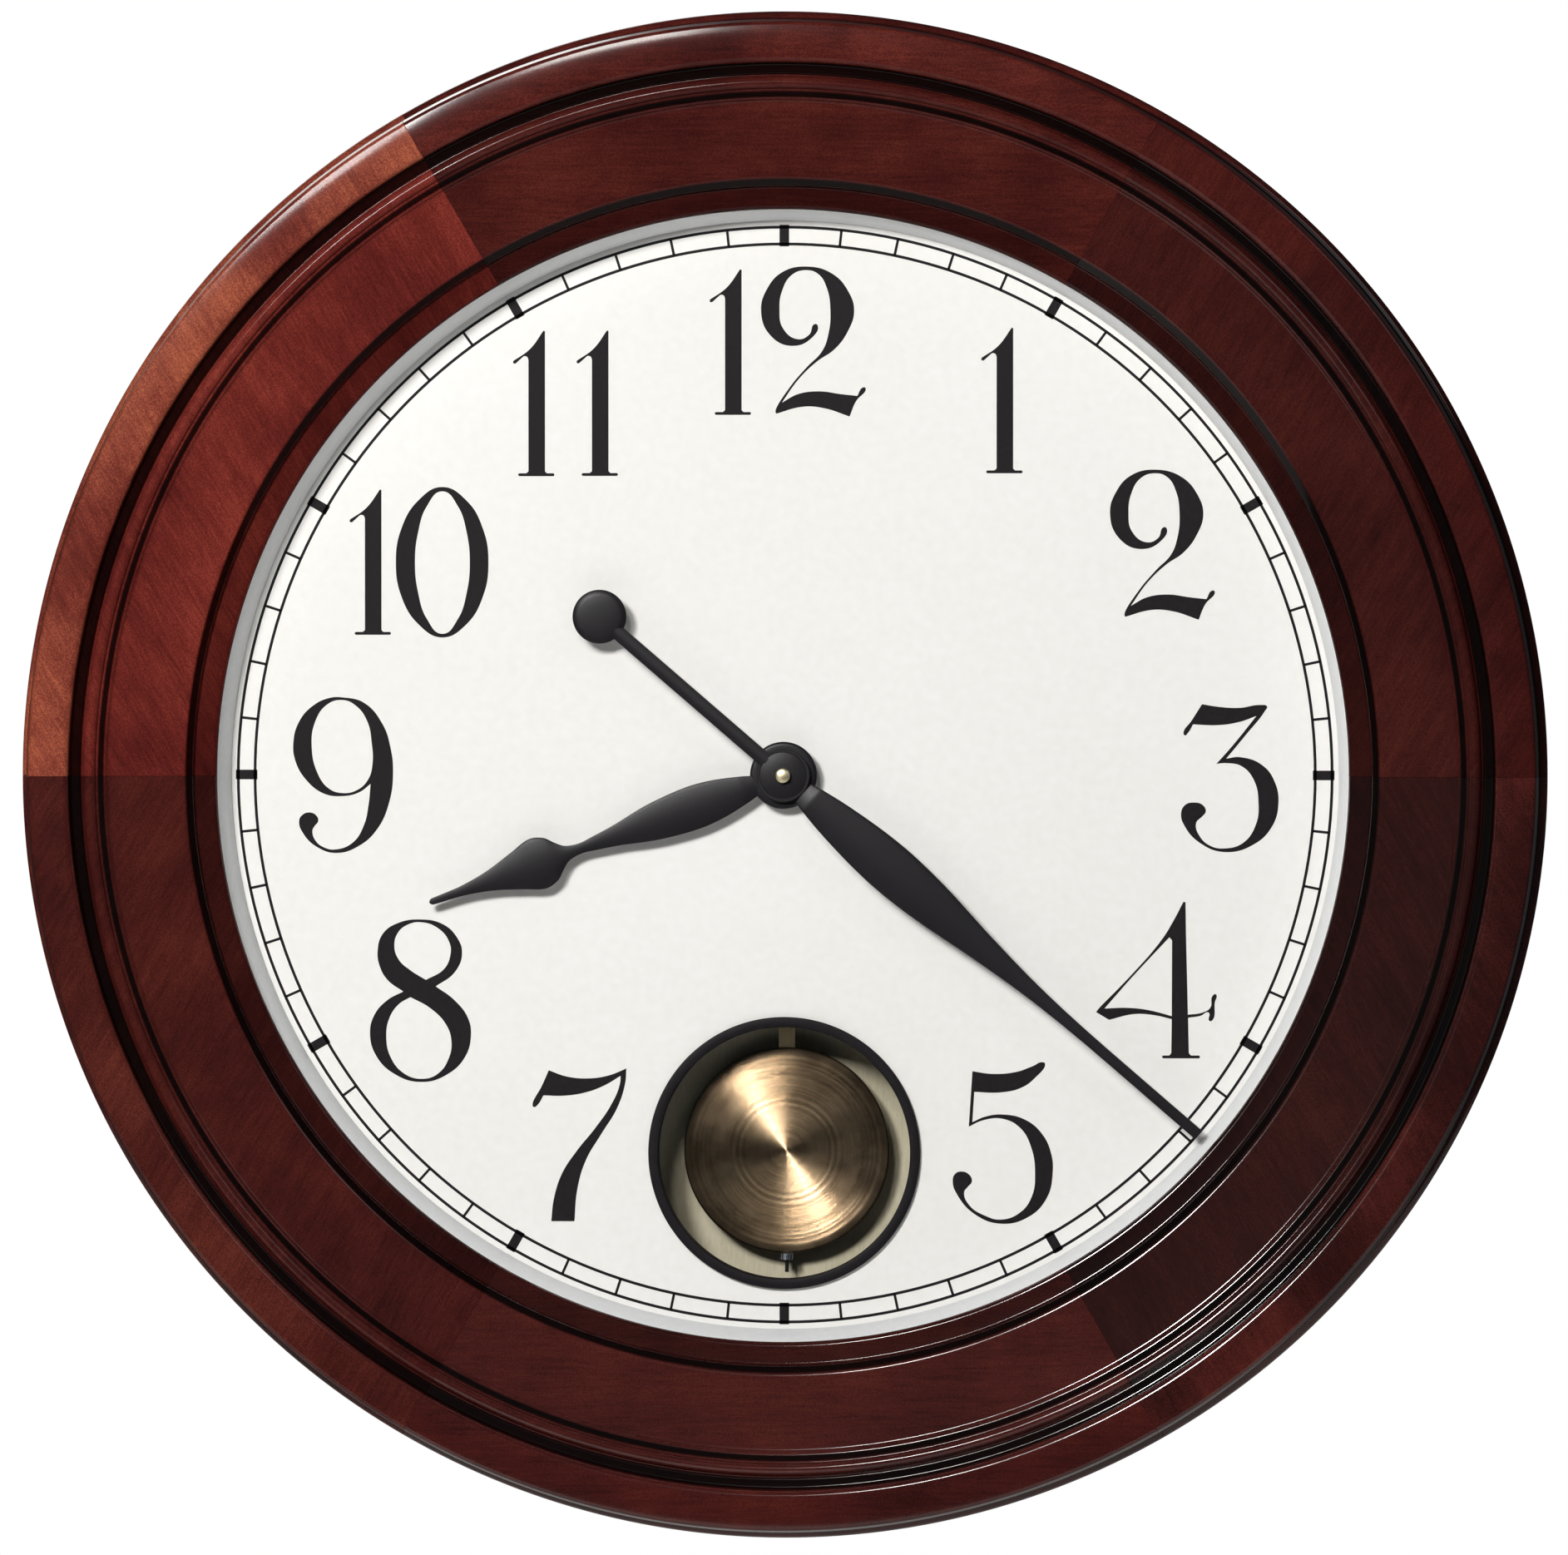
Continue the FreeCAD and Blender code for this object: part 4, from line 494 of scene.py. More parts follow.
def makeHoop():
    back, front = depthOf("case_hoop")
    outer = radiusOf("case_hoop")
    inner, rebate, ledge = hoop["inner"], hoop["rebate"], hoop["ledge"]
    outline = [(inner, ledge), (rebate, ledge), (rebate, back), (outer, back)]
    outline += [(outer, front), (inner, front)]
    bm = spun(outline, hoop["steps"])
    eased(bm, sharpEdges(bm, 60), hoop["ease"])
    dark, middle, light = tint(40, 16, 13), tint(72, 30, 24), tint(98, 46, 34)
    wood = stainedWood("hoopWood", dark, middle, light, (30, 420, 30))
    finished(bm, "caseHoop", "root", wood, ["case_hoop"])
    coat(stainedWood("blockWood", dark, middle, light, (18, 260, 260)), "hanger_block")


makeHoop()
coat(hardboard(), "back_panel")
print("case built")


def enamel():
    # off-white paint, rolled on dark board, with a very faint mottle
    finish = Finish("dialEnamel", {"Specular IOR Level": 0.35})
    board = finish.place()
    mottle = finish.noise(board, 260, 3, 0.6)
    cloud = finish.noise(board, 7, 2, 0.5)
    colour = finish.ramp(
        mottle * 0.6 + cloud * 0.4,
        [(0.3, tint(238, 236, 232)), (0.7, tint(246, 245, 243))],
    )
    front = depthOf("dial_board")[1] * mm
    bare = finish.step(finish.part(board, "Y"), 0.0008 - front, 0.0014 - front)
    colour = finish.mix(bare, colour, tint(52, 46, 40))
    return finish.varies(
        colour=colour,
        roughness=finish.step(mottle, 0.3, 0.7, 0.55, 0.65),
        normal=finish.bump(mottle, 0.00005, 0.35),
    )


def whiteCard():
    # painted fibre liner
    finish = Finish("linerPaint", {"Specular IOR Level": 0.3})
    board = finish.place()
    fibre = finish.noise(board, 420, 3, 0.6)
    colour = finish.ramp(fibre, [(0.3, tint(228, 230, 232)), (0.7, tint(238, 239, 240))])
    return finish.varies(
        colour=colour,
        roughness=finish.step(fibre, 0.3, 0.7, 0.6, 0.75),
        normal=finish.bump(fibre, 0.00006, 0.4),
    )


def clearGlass():
    # flat clear pane; dust and wiping marks only show in its gloss
    finish = Finish("clearGlass", {"IOR": 1.5, "Base Color": (0.012, 0.016, 0.015, 1)})
    pane = finish.place()
    film = finish.noise(pane, 14, 3, 0.6)
    return finish.varies(roughness=finish.step(film, 0.3, 0.7, 0.02, 0.05), alpha=film * 0.01 + 0.035)


# foot and inner are its back edge, face the front edge; ease in metres, the rest in millimetres
liner = {"steps": 240, "ease": 0.0003, "foot": 233, "inner": 230.7, "lift": 0.9, "face": 235.5}


def makeLiner():
    back, front = depthOf("liner_ring")
    outer = radiusOf("liner_ring")
    outline = [(liner["foot"], back), (liner["inner"], back + liner["lift"]), (liner["face"], front)]
    outline += [(outer, front), (outer, back)]
    bm = spun(outline, liner["steps"])
    eased(bm, sharpEdges(bm, 40), liner["ease"])
    finished(bm, "linerRing", "root", whiteCard(), ["liner_ring"])


makeLiner()
coat(enamel(), "dial_board")
coat(clearGlass(), "glass")
print("dial, liner and glass done")


# Outlines of the numerals in millimetres from their lower left corner. A third entry marks a
# corner; the rest of the points lie on smooth strokes. The first outline is the outer one.
numeralShapes = {
    "0": [
        [(19.4, 62.7), (29.5, 57.1), (36.5, 45), (38.7, 31.4), (36.5, 17.4), (29.5, 5.5), (19.4, 0),
         (9.4, 5.5), (2.2, 17.4), (0, 31.4), (2.2, 45), (9.4, 57.1)],
        [(19.4, 60.9), (25.9, 54.7), (29.6, 43.7), (30.9, 31.3), (29.6, 18.7), (25.9, 7.7), (19.4, 1.5),
         (13, 7.7), (9.3, 18.7), (8, 31.3), (9.3, 43.7), (13, 54.7)],
    ],
    "1": [
        [(12.7, 60.6, 1), (13.3, 60.3, 1), (13.3, 2, 1), (14.1, 1.2, 1), (16.9, 1.2, 1), (17.3, 0.6, 1),
         (16.9, 0, 1), (2.5, 0, 1), (2, 0.6, 1), (2.5, 1.2, 1), (5.5, 1.2, 1), (6.4, 2, 1),
         (6.4, 48.5, 1), (5.8, 49.7), (4.5, 50, 1), (0.9, 46.8, 1), (0, 47.1, 1), (0.1, 48, 1),
         (7, 52.9)],
    ],
    "2": [
        [(0, 44.5), (2.5, 53.1), (8.7, 60), (19.2, 62.4), (29.9, 59.3), (36.4, 52), (38.8, 44),
         (36.1, 35.3), (30.6, 28), (23.3, 22.9), (15.7, 15.6), (8.7, 5.8, 1), (15.3, 9.3), (24, 10.5),
         (33.5, 9.3), (40.1, 8.6, 1), (42.7, 12.2), (43.6, 11.7), (39.6, 6.4), (36.9, 0, 1),
         (26.2, 3.5), (17.5, 4.1), (6.3, 1.2, 1), (6, 2.3), (12, 12.2), (19.2, 20.7), (25.5, 27.3),
         (28.1, 34.5), (28.9, 44), (27.4, 53.5), (23.8, 59.3), (18.9, 60.9), (12.8, 58.9), (8.7, 52),
         (7.7, 44.5), (9, 37), (15.3, 32.2), (20.1, 34.1), (22.4, 38.5), (23.6, 37.9), (21.6, 33.2),
         (12.8, 29.4), (3.6, 34.1)],
    ],
    "3": [
        [(8.7, 61.5, 1), (16.5, 60.3), (24.5, 60), (33.2, 61.2), (35.7, 60.6), (34.8, 58.6),
         (27.4, 49.3), (18.8, 38.9, 1), (24.5, 39.5), (34, 36), (39.1, 28.9), (40.5, 20.1),
         (38, 10.9), (30.3, 3.2), (17.9, 0), (7.7, 3.9), (1.6, 10.6), (0, 15.7), (1.5, 19.4),
         (5.5, 20.6), (9.2, 19.4), (10.3, 16.8), (8.9, 14.9), (6.3, 12), (7.9, 6.4), (12.2, 2.6),
         (17.9, 1.5), (25.9, 3.9), (31.2, 11.7), (32.2, 20.4), (30.3, 29.9), (25.2, 35.7), (18.9, 37),
         (14.7, 36.7, 1), (21.6, 44.5), (31.3, 56.6, 1), (24.5, 54.2), (15.7, 52.8), (5, 53.1, 1),
         (2.9, 49.6), (1.6, 48.5), (1, 49.4), (4.4, 54.7)],
    ],
    "4": [
        [(36.3, 65.2, 1), (37.2, 65, 1), (37.5, 48), (37.9, 31.9), (38.2, 18.2, 1), (44.3, 19.1),
         (47.5, 21.1), (48.5, 26.1), (49.8, 26.7), (49.4, 23.2), (48.4, 15.9), (47.2, 15.6),
         (46.8, 19.1), (43.6, 17.8), (38.3, 16.9, 1), (38.6, 2.2, 1), (39.5, 1.2, 1), (42.9, 1.2, 1),
         (43.3, 0.6, 1), (42.9, 0, 1), (27.8, 0, 1), (27.4, 0.6, 1), (27.8, 1.2, 1), (30.5, 1.2, 1),
         (31.3, 2.2, 1), (31.5, 16.3, 1), (24.6, 17.9), (15.9, 18.4), (5.4, 16, 1), (0, 19.2, 1),
         (1.3, 21, 1), (14.4, 34.4), (27.3, 49.4), (32.2, 57.3)],
        [(31.6, 49.1, 1), (30.5, 50.4, 1), (22.4, 41.8), (13.3, 31.9), (3.5, 20.7, 1), (13, 21),
         (21.7, 20.1), (31.5, 17.6, 1)],
    ],
    "5": [
        [(8.2, 63.5, 1), (16.5, 62.4), (26.7, 63.3), (33.2, 65.6), (37.7, 67.3), (38.5, 66.6),
         (34.3, 60.8), (28.9, 56.8), (20.1, 54.7), (9, 54.9, 1), (8.2, 42.3, 1), (13.6, 44.6),
         (20.8, 45.5), (30.3, 43.3), (37.2, 37.5), (41, 29.4), (41.7, 21.4), (39.1, 10.5), (31, 2.5),
         (19.7, 0), (9.2, 3.9), (1.9, 12), (0, 17.5), (1, 20.7), (3.6, 21.7), (7, 20.3), (8, 17.5),
         (6.3, 15.3), (4.8, 13.1), (7, 7.6), (13.3, 3.4), (20.1, 1.7), (28.1, 4.7), (32.9, 11.2),
         (34.3, 20.7), (32.5, 32.4), (28.1, 39.9), (20.8, 43.7), (12.8, 43.1), (6.7, 40.4, 1)],
    ],
    "7": [
        [(6.8, 63, 1), (13.9, 60.5), (22.9, 59.6), (31.9, 60.9), (39.2, 63.8, 1), (38.7, 57.6),
         (35.4, 47.4), (28.7, 36.4), (22.3, 25.5), (18.7, 13.3), (17.5, 0, 1), (7.8, 0, 1),
         (8.9, 9.4), (12.2, 19.7), (18.4, 29.3), (26.4, 39.2), (33.2, 49.3), (36.4, 57),
         (36.8, 60.7, 1), (30, 56.7), (22.3, 53.8), (13.3, 52.4), (4.6, 52.5, 1), (1.9, 48.3),
         (0.6, 47.6), (0, 48.5), (4, 56.7)],
    ],
    "8": [
        [(20.7, 67.8), (30.4, 65.9), (36.4, 60.3), (38.5, 53.7), (35.5, 45.9), (27.5, 39.9, 1),
         (35.5, 34), (41, 26.6), (42.2, 19.6), (39.8, 10.6), (32.3, 3.2), (21.7, 0), (10.4, 3.2),
         (2.4, 11.2), (0, 20.5), (1.8, 27.9), (7.2, 34.1), (13.9, 37.7, 1), (7.2, 42.7), (4, 48.5),
         (3.2, 54.9), (5.5, 62), (11.7, 66.3)],
        [(20.7, 66.7), (28.4, 64.2), (33.2, 58.2), (33.6, 53), (31, 47.2), (23.4, 42.6, 1),
         (16.9, 46.6), (12, 51.1), (10.2, 56.9), (12, 62.7), (16.2, 65.8)],
        [(16.9, 35.4, 1), (25.2, 30.8), (31.7, 24.1), (34, 17.4), (32.9, 9.9), (28.4, 3.5), (22, 1.3),
         (14.3, 3.5), (8.5, 10.6), (6.8, 18.9), (8.1, 26.6), (12, 32.4)],
    ],
    "9": [
        [(20.5, 64.9), (29.5, 62.7), (37.2, 54), (40.7, 43.7), (41.7, 32.8), (40.1, 21.2),
         (35.3, 10.3), (27.5, 3), (17.9, 0), (10.2, 2.3), (4.4, 7.7), (2.4, 13.3), (3.7, 15.8),
         (6.9, 16.9), (9.8, 15.4), (10.4, 13.3), (8.9, 11.2), (8, 9.4), (9.3, 5.1), (13.1, 2.2),
         (17.9, 1.5), (25, 4.5), (29.5, 11.6), (31.4, 19.9), (32.3, 28.8, 1), (27.5, 25.3),
         (20.5, 23.7), (12.7, 24.8), (5, 30.9), (0.8, 38.6), (0, 45.7), (2.4, 54.7), (8.2, 61.4),
         (15.3, 64.7)],
        [(20.5, 63.8), (26.2, 61.4), (31, 54.7), (32.8, 45.7), (33.1, 37.3), (31.4, 30.9),
         (26.9, 26.4), (20.5, 25), (14.7, 27), (9.8, 34.1), (7.7, 44.4), (8.9, 54), (14, 61.8)],
    ],
}
# numeral: its digits, each with the place of its lower left corner on the dial in millimetres
numeralPlaces = {
    "12": [("1", -31.1, 149.9), ("2", -9.7, 149.2)],
    "1": [("1", 82.0, 125.6)],
    "2": [("2", 135.6, 64.7)],
    "3": [("3", 165.2, -31.9)],
    "4": [("4", 129.9, -117.8)],
    "5": [("5", 70.2, -186.8)],
    "7": [("7", -105.1, -186.2)],
    "8": [("8", -173.0, -128.2)],
    "9": [("9", -205.0, -32.7)],
    "10": [("1", -181.4, 58.3), ("0", -162.1, 57.2)],
    "11": [("1", -113.1, 124.4), ("1", -86.6, 124.5)],
}
track = {
    "outer": 228,            # outer circle of the minute track
    "inner": 221,            # inner circle
    "line": 1.2,             # width of the circles
    "minute": 1.1,           # width of a minute's line
    "hour": 4.0,             # width of an hour's bar
    "reach": 0.8,            # how far the bars run over the circles
    "ink": 0.05,             # thickness of the ink
}


def ink():
    finish = Finish("dialInk", {"Specular IOR Level": 0.12})
    spot = finish.place()
    mottle = finish.noise(spot, 500, 2, 0.6)
    colour = finish.ramp(mottle, [(0.3, tint(20, 16, 19)), (0.7, tint(30, 25, 29))])
    return finish.varies(
        colour=colour,
        roughness=finish.step(mottle, 0.3, 0.7, 0.5, 0.62),
        normal=finish.bump(mottle, 0.00003, 0.4),
    )


def printed(name, outlines, material):
    # flat closed curves, filled and made a thin mesh that lies on the dial
    curve = bpy.data.curves.new(name, "CURVE")
    curve.dimensions = "2D"
    curve.fill_mode = "BOTH"
    curve.resolution_u = 10
    curve.extrude = track["ink"] / 2 * mm
    for points, left, low in outlines:
        spline = curve.splines.new("BEZIER")
        spline.use_cyclic_u = True
        spline.bezier_points.add(len(points) - 1)
        for knot, (across, up, *corner) in zip(spline.bezier_points, points):
            knot.co = ((left + across) * mm, (low + up) * mm, 0)
            kind = "VECTOR" if corner else "AUTO"
            knot.handle_left_type = kind
            knot.handle_right_type = kind
    scratch = bpy.data.objects.new(name, curve)
    bpy.context.collection.objects.link(scratch)
    bpy.context.view_layer.update()
    mesh = bpy.data.meshes.new_from_object(scratch.evaluated_get(bpy.context.evaluated_depsgraph_get()))
    bpy.data.objects.remove(scratch)
    front = depthOf("dial_board")[1]
    bm = bmesh.new()
    bm.from_mesh(mesh)
    bpy.data.meshes.remove(mesh)
    bmesh.ops.remove_doubles(bm, verts=bm.verts, dist=1e-7)
    bmesh.ops.transform(bm, matrix=facing, verts=bm.verts)
    bmesh.ops.translate(bm, verts=bm.verts, vec=(0, -(front + track["ink"] / 2) * mm, 0))
    bmesh.ops.recalc_face_normals(bm, faces=bm.faces)
    return finished(bm, name, "root", material)


def makePrinting():
    black = ink()
    for numeral, digits in numeralPlaces.items():
        outlines = [
            (shape, left, low) for digit, left, low in digits for shape in numeralShapes[digit]
        ]
        printed(f"numeral{numeral}", outlines, black)
    front = depthOf("dial_board")[1]
    top = front + track["ink"]
    half = track["line"] / 2
    lines = bmesh.new()
    for radius in (track["outer"], track["inner"]):
        ring = [(radius - half, front), (radius + half, front), (radius + half, top), (radius - half, top)]
        joinedMesh(lines, spun(ring, 240))
    middle = (track["outer"] + track["inner"]) / 2 * mm
    for minute in range(60):
        isHour = minute % 5 == 0
        wide = track["hour"] if isHour else track["minute"]
        tall = track["outer"] - track["inner"] + (track["line"] + track["reach"] if isHour else 0)
        bar = bmesh.new()
        bmesh.ops.create_cube(bar, size=1)
        bmesh.ops.scale(bar, vec=(wide * mm, track["ink"] * mm, tall * mm), verts=bar.verts)
        bmesh.ops.translate(bar, vec=(0, -(front + track["ink"] / 2) * mm, middle), verts=bar.verts)
        turn = Matrix.Rotation(math.radians(6 * minute), 4, "Y")
        bmesh.ops.transform(bar, matrix=turn, verts=bar.verts)
        joinedMesh(lines, bar)
    finished(lines, "minuteTrack", "root", black)


makePrinting()
print("dial printed")


def satinBlack(name, colour, roughness, grain, gloss):
    finish = Finish(name, {"Specular IOR Level": gloss})
    spot = finish.place()
    powder = finish.noise(spot, grain, 3, 0.6)
    cloud = finish.noise(spot, 40, 2, 0.5)
    light = tuple(part * 1.5 for part in colour[:3]) + (1,)
    shade = finish.ramp(powder * 0.6 + cloud * 0.4, [(0.3, colour), (0.7, light)])
    return finish.varies(
        colour=shade,
        roughness=finish.step(powder, 0.3, 0.7, roughness, roughness + 0.1),
        normal=finish.bump(powder, 0.00006, 0.35),
    )


# radii of the hole and of the tube that lines it, millimetres; ease in metres
bezel = {"inner": 52.5, "tube": 53.7, "ease": 0.0006}


def makeBezel():
    back, front = depthOf("aperture_bezel")
    outer = radiusOf("aperture_bezel")
    dial = depthOf("dial_board")[1]
    outline = [(bezel["inner"], back), (bezel["tube"], back), (bezel["tube"], dial), (outer, dial)]
    outline += [(outer, front), (bezel["inner"], front)]
    bm = spun(outline, 160, centre=(0, 0, middleOf("aperture_bezel").z))
    flange = [edge for edge in sharpEdges(bm, 40) if edge.verts[0].co.y < -(dial + 1.5) * mm]
    eased(bm, flange, bezel["ease"], 3)
    black = satinBlack("bezelPlastic", tint(20, 17, 20), 0.42, 1600, 0.12)
    finished(bm, "windowBezel", "root", black, ["aperture_bezel"])


makeBezel()
print("window bezel done")


hands = {
    "thick": 0.8,                # sheet the hands are stamped from, millimetres
    "crown": 0.085,              # rise of the crown, as a share of the half width
    "ease": 0.00018,             # eased front edge, metres
    "minuteTurn": 130.8,         # degrees clockwise from twelve
    "hourTurn": 250.2,
    "tailFrom": 9,               # the minute hand's tail: where it starts, its length
    "tailLength": 84,            # and half width, millimetres
    "tailHalf": 3.05,
    "disc": 101,                 # axis to the middle of the counterweight
}
# distance from the axis and half width there, millimetres
minuteWidths = [(11, 5.0), (16, 6.1), (28, 8.05), (46, 9.9), (62, 10.4), (82, 9.2), (106, 6.3)]
minuteWidths += [(130, 3.9), (150, 2.75), (172, 2.3), (228.3, 2.3)]
hourWidths = [(9, 3.2), (18, 5.85), (30, 8.35), (41, 9.1), (58, 7.65), (74, 4.4), (84, 2.9)]
hourWidths += [(90, 2.2), (96, 3.3), (99.5, 6.0), (103, 9.3), (109, 10.9), (118, 8.05), (130, 4.3)]
hourWidths += [(142, 2.15), (153, 1.5), (155.6, 1.35), (156.5, 0.9), (156.9, 0.2)]


def widthAt(widths, reach):
    # smooth line through the widths, each with the slope of its neighbours
    count = len(widths)
    place = max(index for index in range(count - 1) if widths[index][0] <= reach + 1e-9)
    before, start, end, after = (widths[min(max(place + step, 0), count - 1)] for step in (-1, 0, 1, 2))
    span = end[0] - start[0]
    rate = (end[1] - before[1]) / (end[0] - before[0])
    nextRate = (after[1] - start[1]) / (after[0] - start[0])
    part = (reach - start[0]) / span
    level = (2 * part**3 - 3 * part**2 + 1) * start[1] + (3 * part**2 - 2 * part**3) * end[1]
    slope = (part**3 - 2 * part**2 + part) * rate + (part**3 - part**2) * nextRate
    return level + slope * span


def blade(widths, back, ridge, ramp, steps):
    # a crowned strip: a grid drawn out to the hand's outline, then given its thickness
    bm = bmesh.new()
    bmesh.ops.create_grid(bm, x_segments=12, y_segments=steps, size=1)
    root, tip = widths[0][0], widths[-1][0]
    for vertex in bm.verts:
        share = vertex.co.x
        reach = root + (tip - root) * (vertex.co.y + 1) / 2
        half = widthAt(widths, reach)
        rise = min(max((reach - root) / ramp, 0.05), 1)
        crown = hands["crown"] * half * (1 - share * share) + ridge * rise
        vertex.co = (share * half * mm, -(back + hands["thick"] + crown) * mm, reach * mm)
    top = bm.faces[:]
    made = bmesh.ops.extrude_face_region(bm, geom=top)
    for item in made["geom"]:
        if isinstance(item, bmesh.types.BMVert):
            item.co.y = -back * mm
    bmesh.ops.recalc_face_normals(bm, faces=bm.faces)
    raised = -(back + 0.3) * mm
    brow = [edge for edge in sharpEdges(bm, 45) if all(vertex.co.y < raised for vertex in edge.verts)]
    eased(bm, brow, hands["ease"])
    return bm


def turnedHand(bm, degrees):
    turn = Matrix.Rotation(math.radians(degrees), 4, "Y")
    bmesh.ops.transform(bm, matrix=turn, verts=bm.verts)
    return bm


def makeMinuteHand(black):
    back = depthOf("minute_hand")[0]
    top = back + hands["thick"]
    bm = blade(minuteWidths, back, 0.95, 4.5, 220)
    hub = [(1.9, back), (11.05, back), (11.05, top - 0.15), (10.85, top + 0.05), (9.75, top + 0.05)]
    hub += [(9.6, top + 0.3), (9.35, top + 0.38), (1.9, top + 0.38)]
    joinedMesh(bm, spun(hub, 96))
    tail = bmesh.new()
    bmesh.ops.create_grid(tail, x_segments=6, y_segments=40, size=1)
    for vertex in tail.verts:
        share = vertex.co.x
        reach = -hands["tailFrom"] - hands["tailLength"] * (vertex.co.y + 1) / 2
        depth = top + 0.45 * (1 - share * share)
        vertex.co = (share * hands["tailHalf"] * mm, -depth * mm, reach * mm)
    made = bmesh.ops.extrude_face_region(tail, geom=tail.faces[:])
    for item in made["geom"]:
        if isinstance(item, bmesh.types.BMVert):
            item.co.y = -back * mm
    bmesh.ops.recalc_face_normals(tail, faces=tail.faces)
    joinedMesh(bm, tail)
    disc = [(0, top + 0.75), (5, top + 0.66), (8.5, top + 0.44), (10.6, top + 0.15), (11.2, top - 0.25)]
    disc += [(11.2, back), (0, back)]
    joinedMesh(bm, spun(disc, 96, closed=False, centre=(0, 0, -hands["disc"] * mm)))
    turnedHand(bm, hands["minuteTurn"])
    finished(bm, "minuteHand", "minute_work", black, ["minute_hand"])


def makeHourHand(black):
    back = depthOf("hour_hand")[0]
    top = back + hands["thick"]
    bm = blade(hourWidths, back, 0.5, 9, 220)
    hub = [(3.4, back), (13.95, back), (13.95, top - 0.2), (13.6, top + 0.2), (12.9, top + 0.42)]
    hub += [(12.0, top + 0.5), (3.4, top + 0.5)]
    joinedMesh(bm, spun(hub, 96))
    turnedHand(bm, hands["hourTurn"])
    finished(bm, "hourHand", "hour_work", black, ["hour_hand"])


def brass(name, dark, middle, light, roughness):
    # turned brass with lines round its own axis
    finish = Finish(name, {"Metallic": 1.0, "Specular IOR Level": 0.5})
    spot = finish.place()
    flat = finish.vector("MULTIPLY", spot, (1, 0, 1))
    radius = finish.vector("LENGTH", flat, (0, 0, 0), "Value")
    lines = finish.node("ShaderNodeTexNoise", {"noise_dimensions": "1D"}, {"W": radius, "Scale": 9000})
    cloud = finish.noise(spot, 300, 3, 0.6)
    shade = finish.ramp(cloud * 0.6 + lines * 0.4, [(0.3, dark), (0.5, middle), (0.7, light)])
    return finish.varies(
        colour=shade,
        roughness=finish.step(cloud, 0.3, 0.7, roughness, roughness + 0.12),
        normal=finish.bump(lines, 0.00003, 0.4),
    )


def makeFittings():
    gold = brass("turnedBrass", tint(206, 190, 146), tint(232, 220, 182), tint(246, 238, 210), 0.3)
    back, front = depthOf("cap_nut")
    cap = [(1.8, back), (2.9, back), (3.1, back + 0.2), (3.1, front - 1.2), (2.9, front - 0.62)]
    cap += [(2.3, front - 0.25), (1.2, front - 0.05), (0, front)]
    bm = spun(cap, 64, closed=False)
    bmesh.ops.holes_fill(bm, edges=bm.edges)
    bmesh.ops.recalc_face_normals(bm, faces=bm.faces)
    finished(bm, "capNut", "minute_work", gold, ["cap_nut"])
    coat(gold, "minute_hand_bush", "hour_hand_collet", "mounting_nut", "mounting_washer")


handBlack = satinBlack("handPaint", tint(19, 16, 20), 0.34, 2600, 0.24)
makeMinuteHand(handBlack)
makeHourHand(handBlack)
makeFittings()
print("hands done")


bob = {
    "shoulder": 1.8,             # fall of the dome from its middle to its shoulder, millimetres
    "wall": 0.7,
    "brushing": 0.32,            # how far the brushed lines lean the surface
    "hair": 0.0003,              # one brushed line, metres
    "steps": 12,                 # rings of the dome
    "rod": 0.00022,              # eased edge of the rod, metres
}


def spunBrass(centre):
    # dark gilt, brushed round the bob's middle: each fine ring leans the surface in or out
    finish = Finish("spunBrass", {"Metallic": 1.0, "Specular IOR Level": 0.5})
    spot = finish.node("ShaderNodeTexCoord", {}, {}, "Object")
    arm = finish.vector("SUBTRACT", spot, tuple(centre))
    flat = finish.vector("MULTIPLY", arm, (1, 0, 1))
    radius = finish.vector("LENGTH", flat, (0, 0, 0), "Value")
    out = finish.vector("NORMALIZE", flat, (0, 0, 0))
    hair = finish.node("ShaderNodeMath", {"operation": "SINE"}, {0: radius * (math.tau / bob["hair"])})
    settings = {"noise_dimensions": "1D"}
    band = finish.node("ShaderNodeTexNoise", settings, {"W": radius, "Scale": 700.0, "Detail": 2.0})
    lean = hair * (band * 0.3 + 0.85) * bob["brushing"]
    settings = {"vector_type": "VECTOR", "convert_from": "OBJECT", "convert_to": "WORLD"}
    outward = finish.node("ShaderNodeVectorTransform", settings, {0: out})
    tilt = finish.node("ShaderNodeVectorMath", {"operation": "SCALE"}, {0: outward, "Scale": lean})
    upright = finish.node("ShaderNodeNewGeometry", {}, {}, "Normal")
    normal = finish.vector("NORMALIZE", finish.vector("ADD", upright, tilt), (0, 0, 0))
    cloud = finish.noise(finish.place(), 60, 4, 0.6)
    stain = finish.ramp(
        band * 0.55 + cloud * 0.45,
        [(0.3, tint(112, 92, 70)), (0.5, tint(138, 117, 92)), (0.7, tint(164, 143, 116))],
    )
    return finish.varies(
        colour=stain,
        roughness=finish.step(cloud, 0.3, 0.7, 0.2, 0.26),
        normal=normal,
    )


def makeBob():
    centre = middleOf("bob_face")
    back, crown = depthOf("bob_face")
    radius = radiusOf("bob_face")
    fall, wall = bob["shoulder"], bob["wall"]
    shares = [0.978 * step / bob["steps"] for step in range(bob["steps"] + 1)]
    dome = [(radius * share, crown - fall * share**2) for share in shares]
    edge = [(radius - 0.35, crown - fall - 0.15), (radius, crown - fall - 0.55), (radius, back)]
    edge += [(radius - wall, back), (radius - wall, crown - fall - 0.8)]
    inside = [(reach - wall * reach / radius, depth - wall) for reach, depth in reversed(dome[:-1])]
    bm = spun(dome + edge + inside, 192, closed=False, centre=(0, 0, centre.z))
    finished(bm, "bobFace", "pendulum", spunBrass(centre), ["bob_face"])


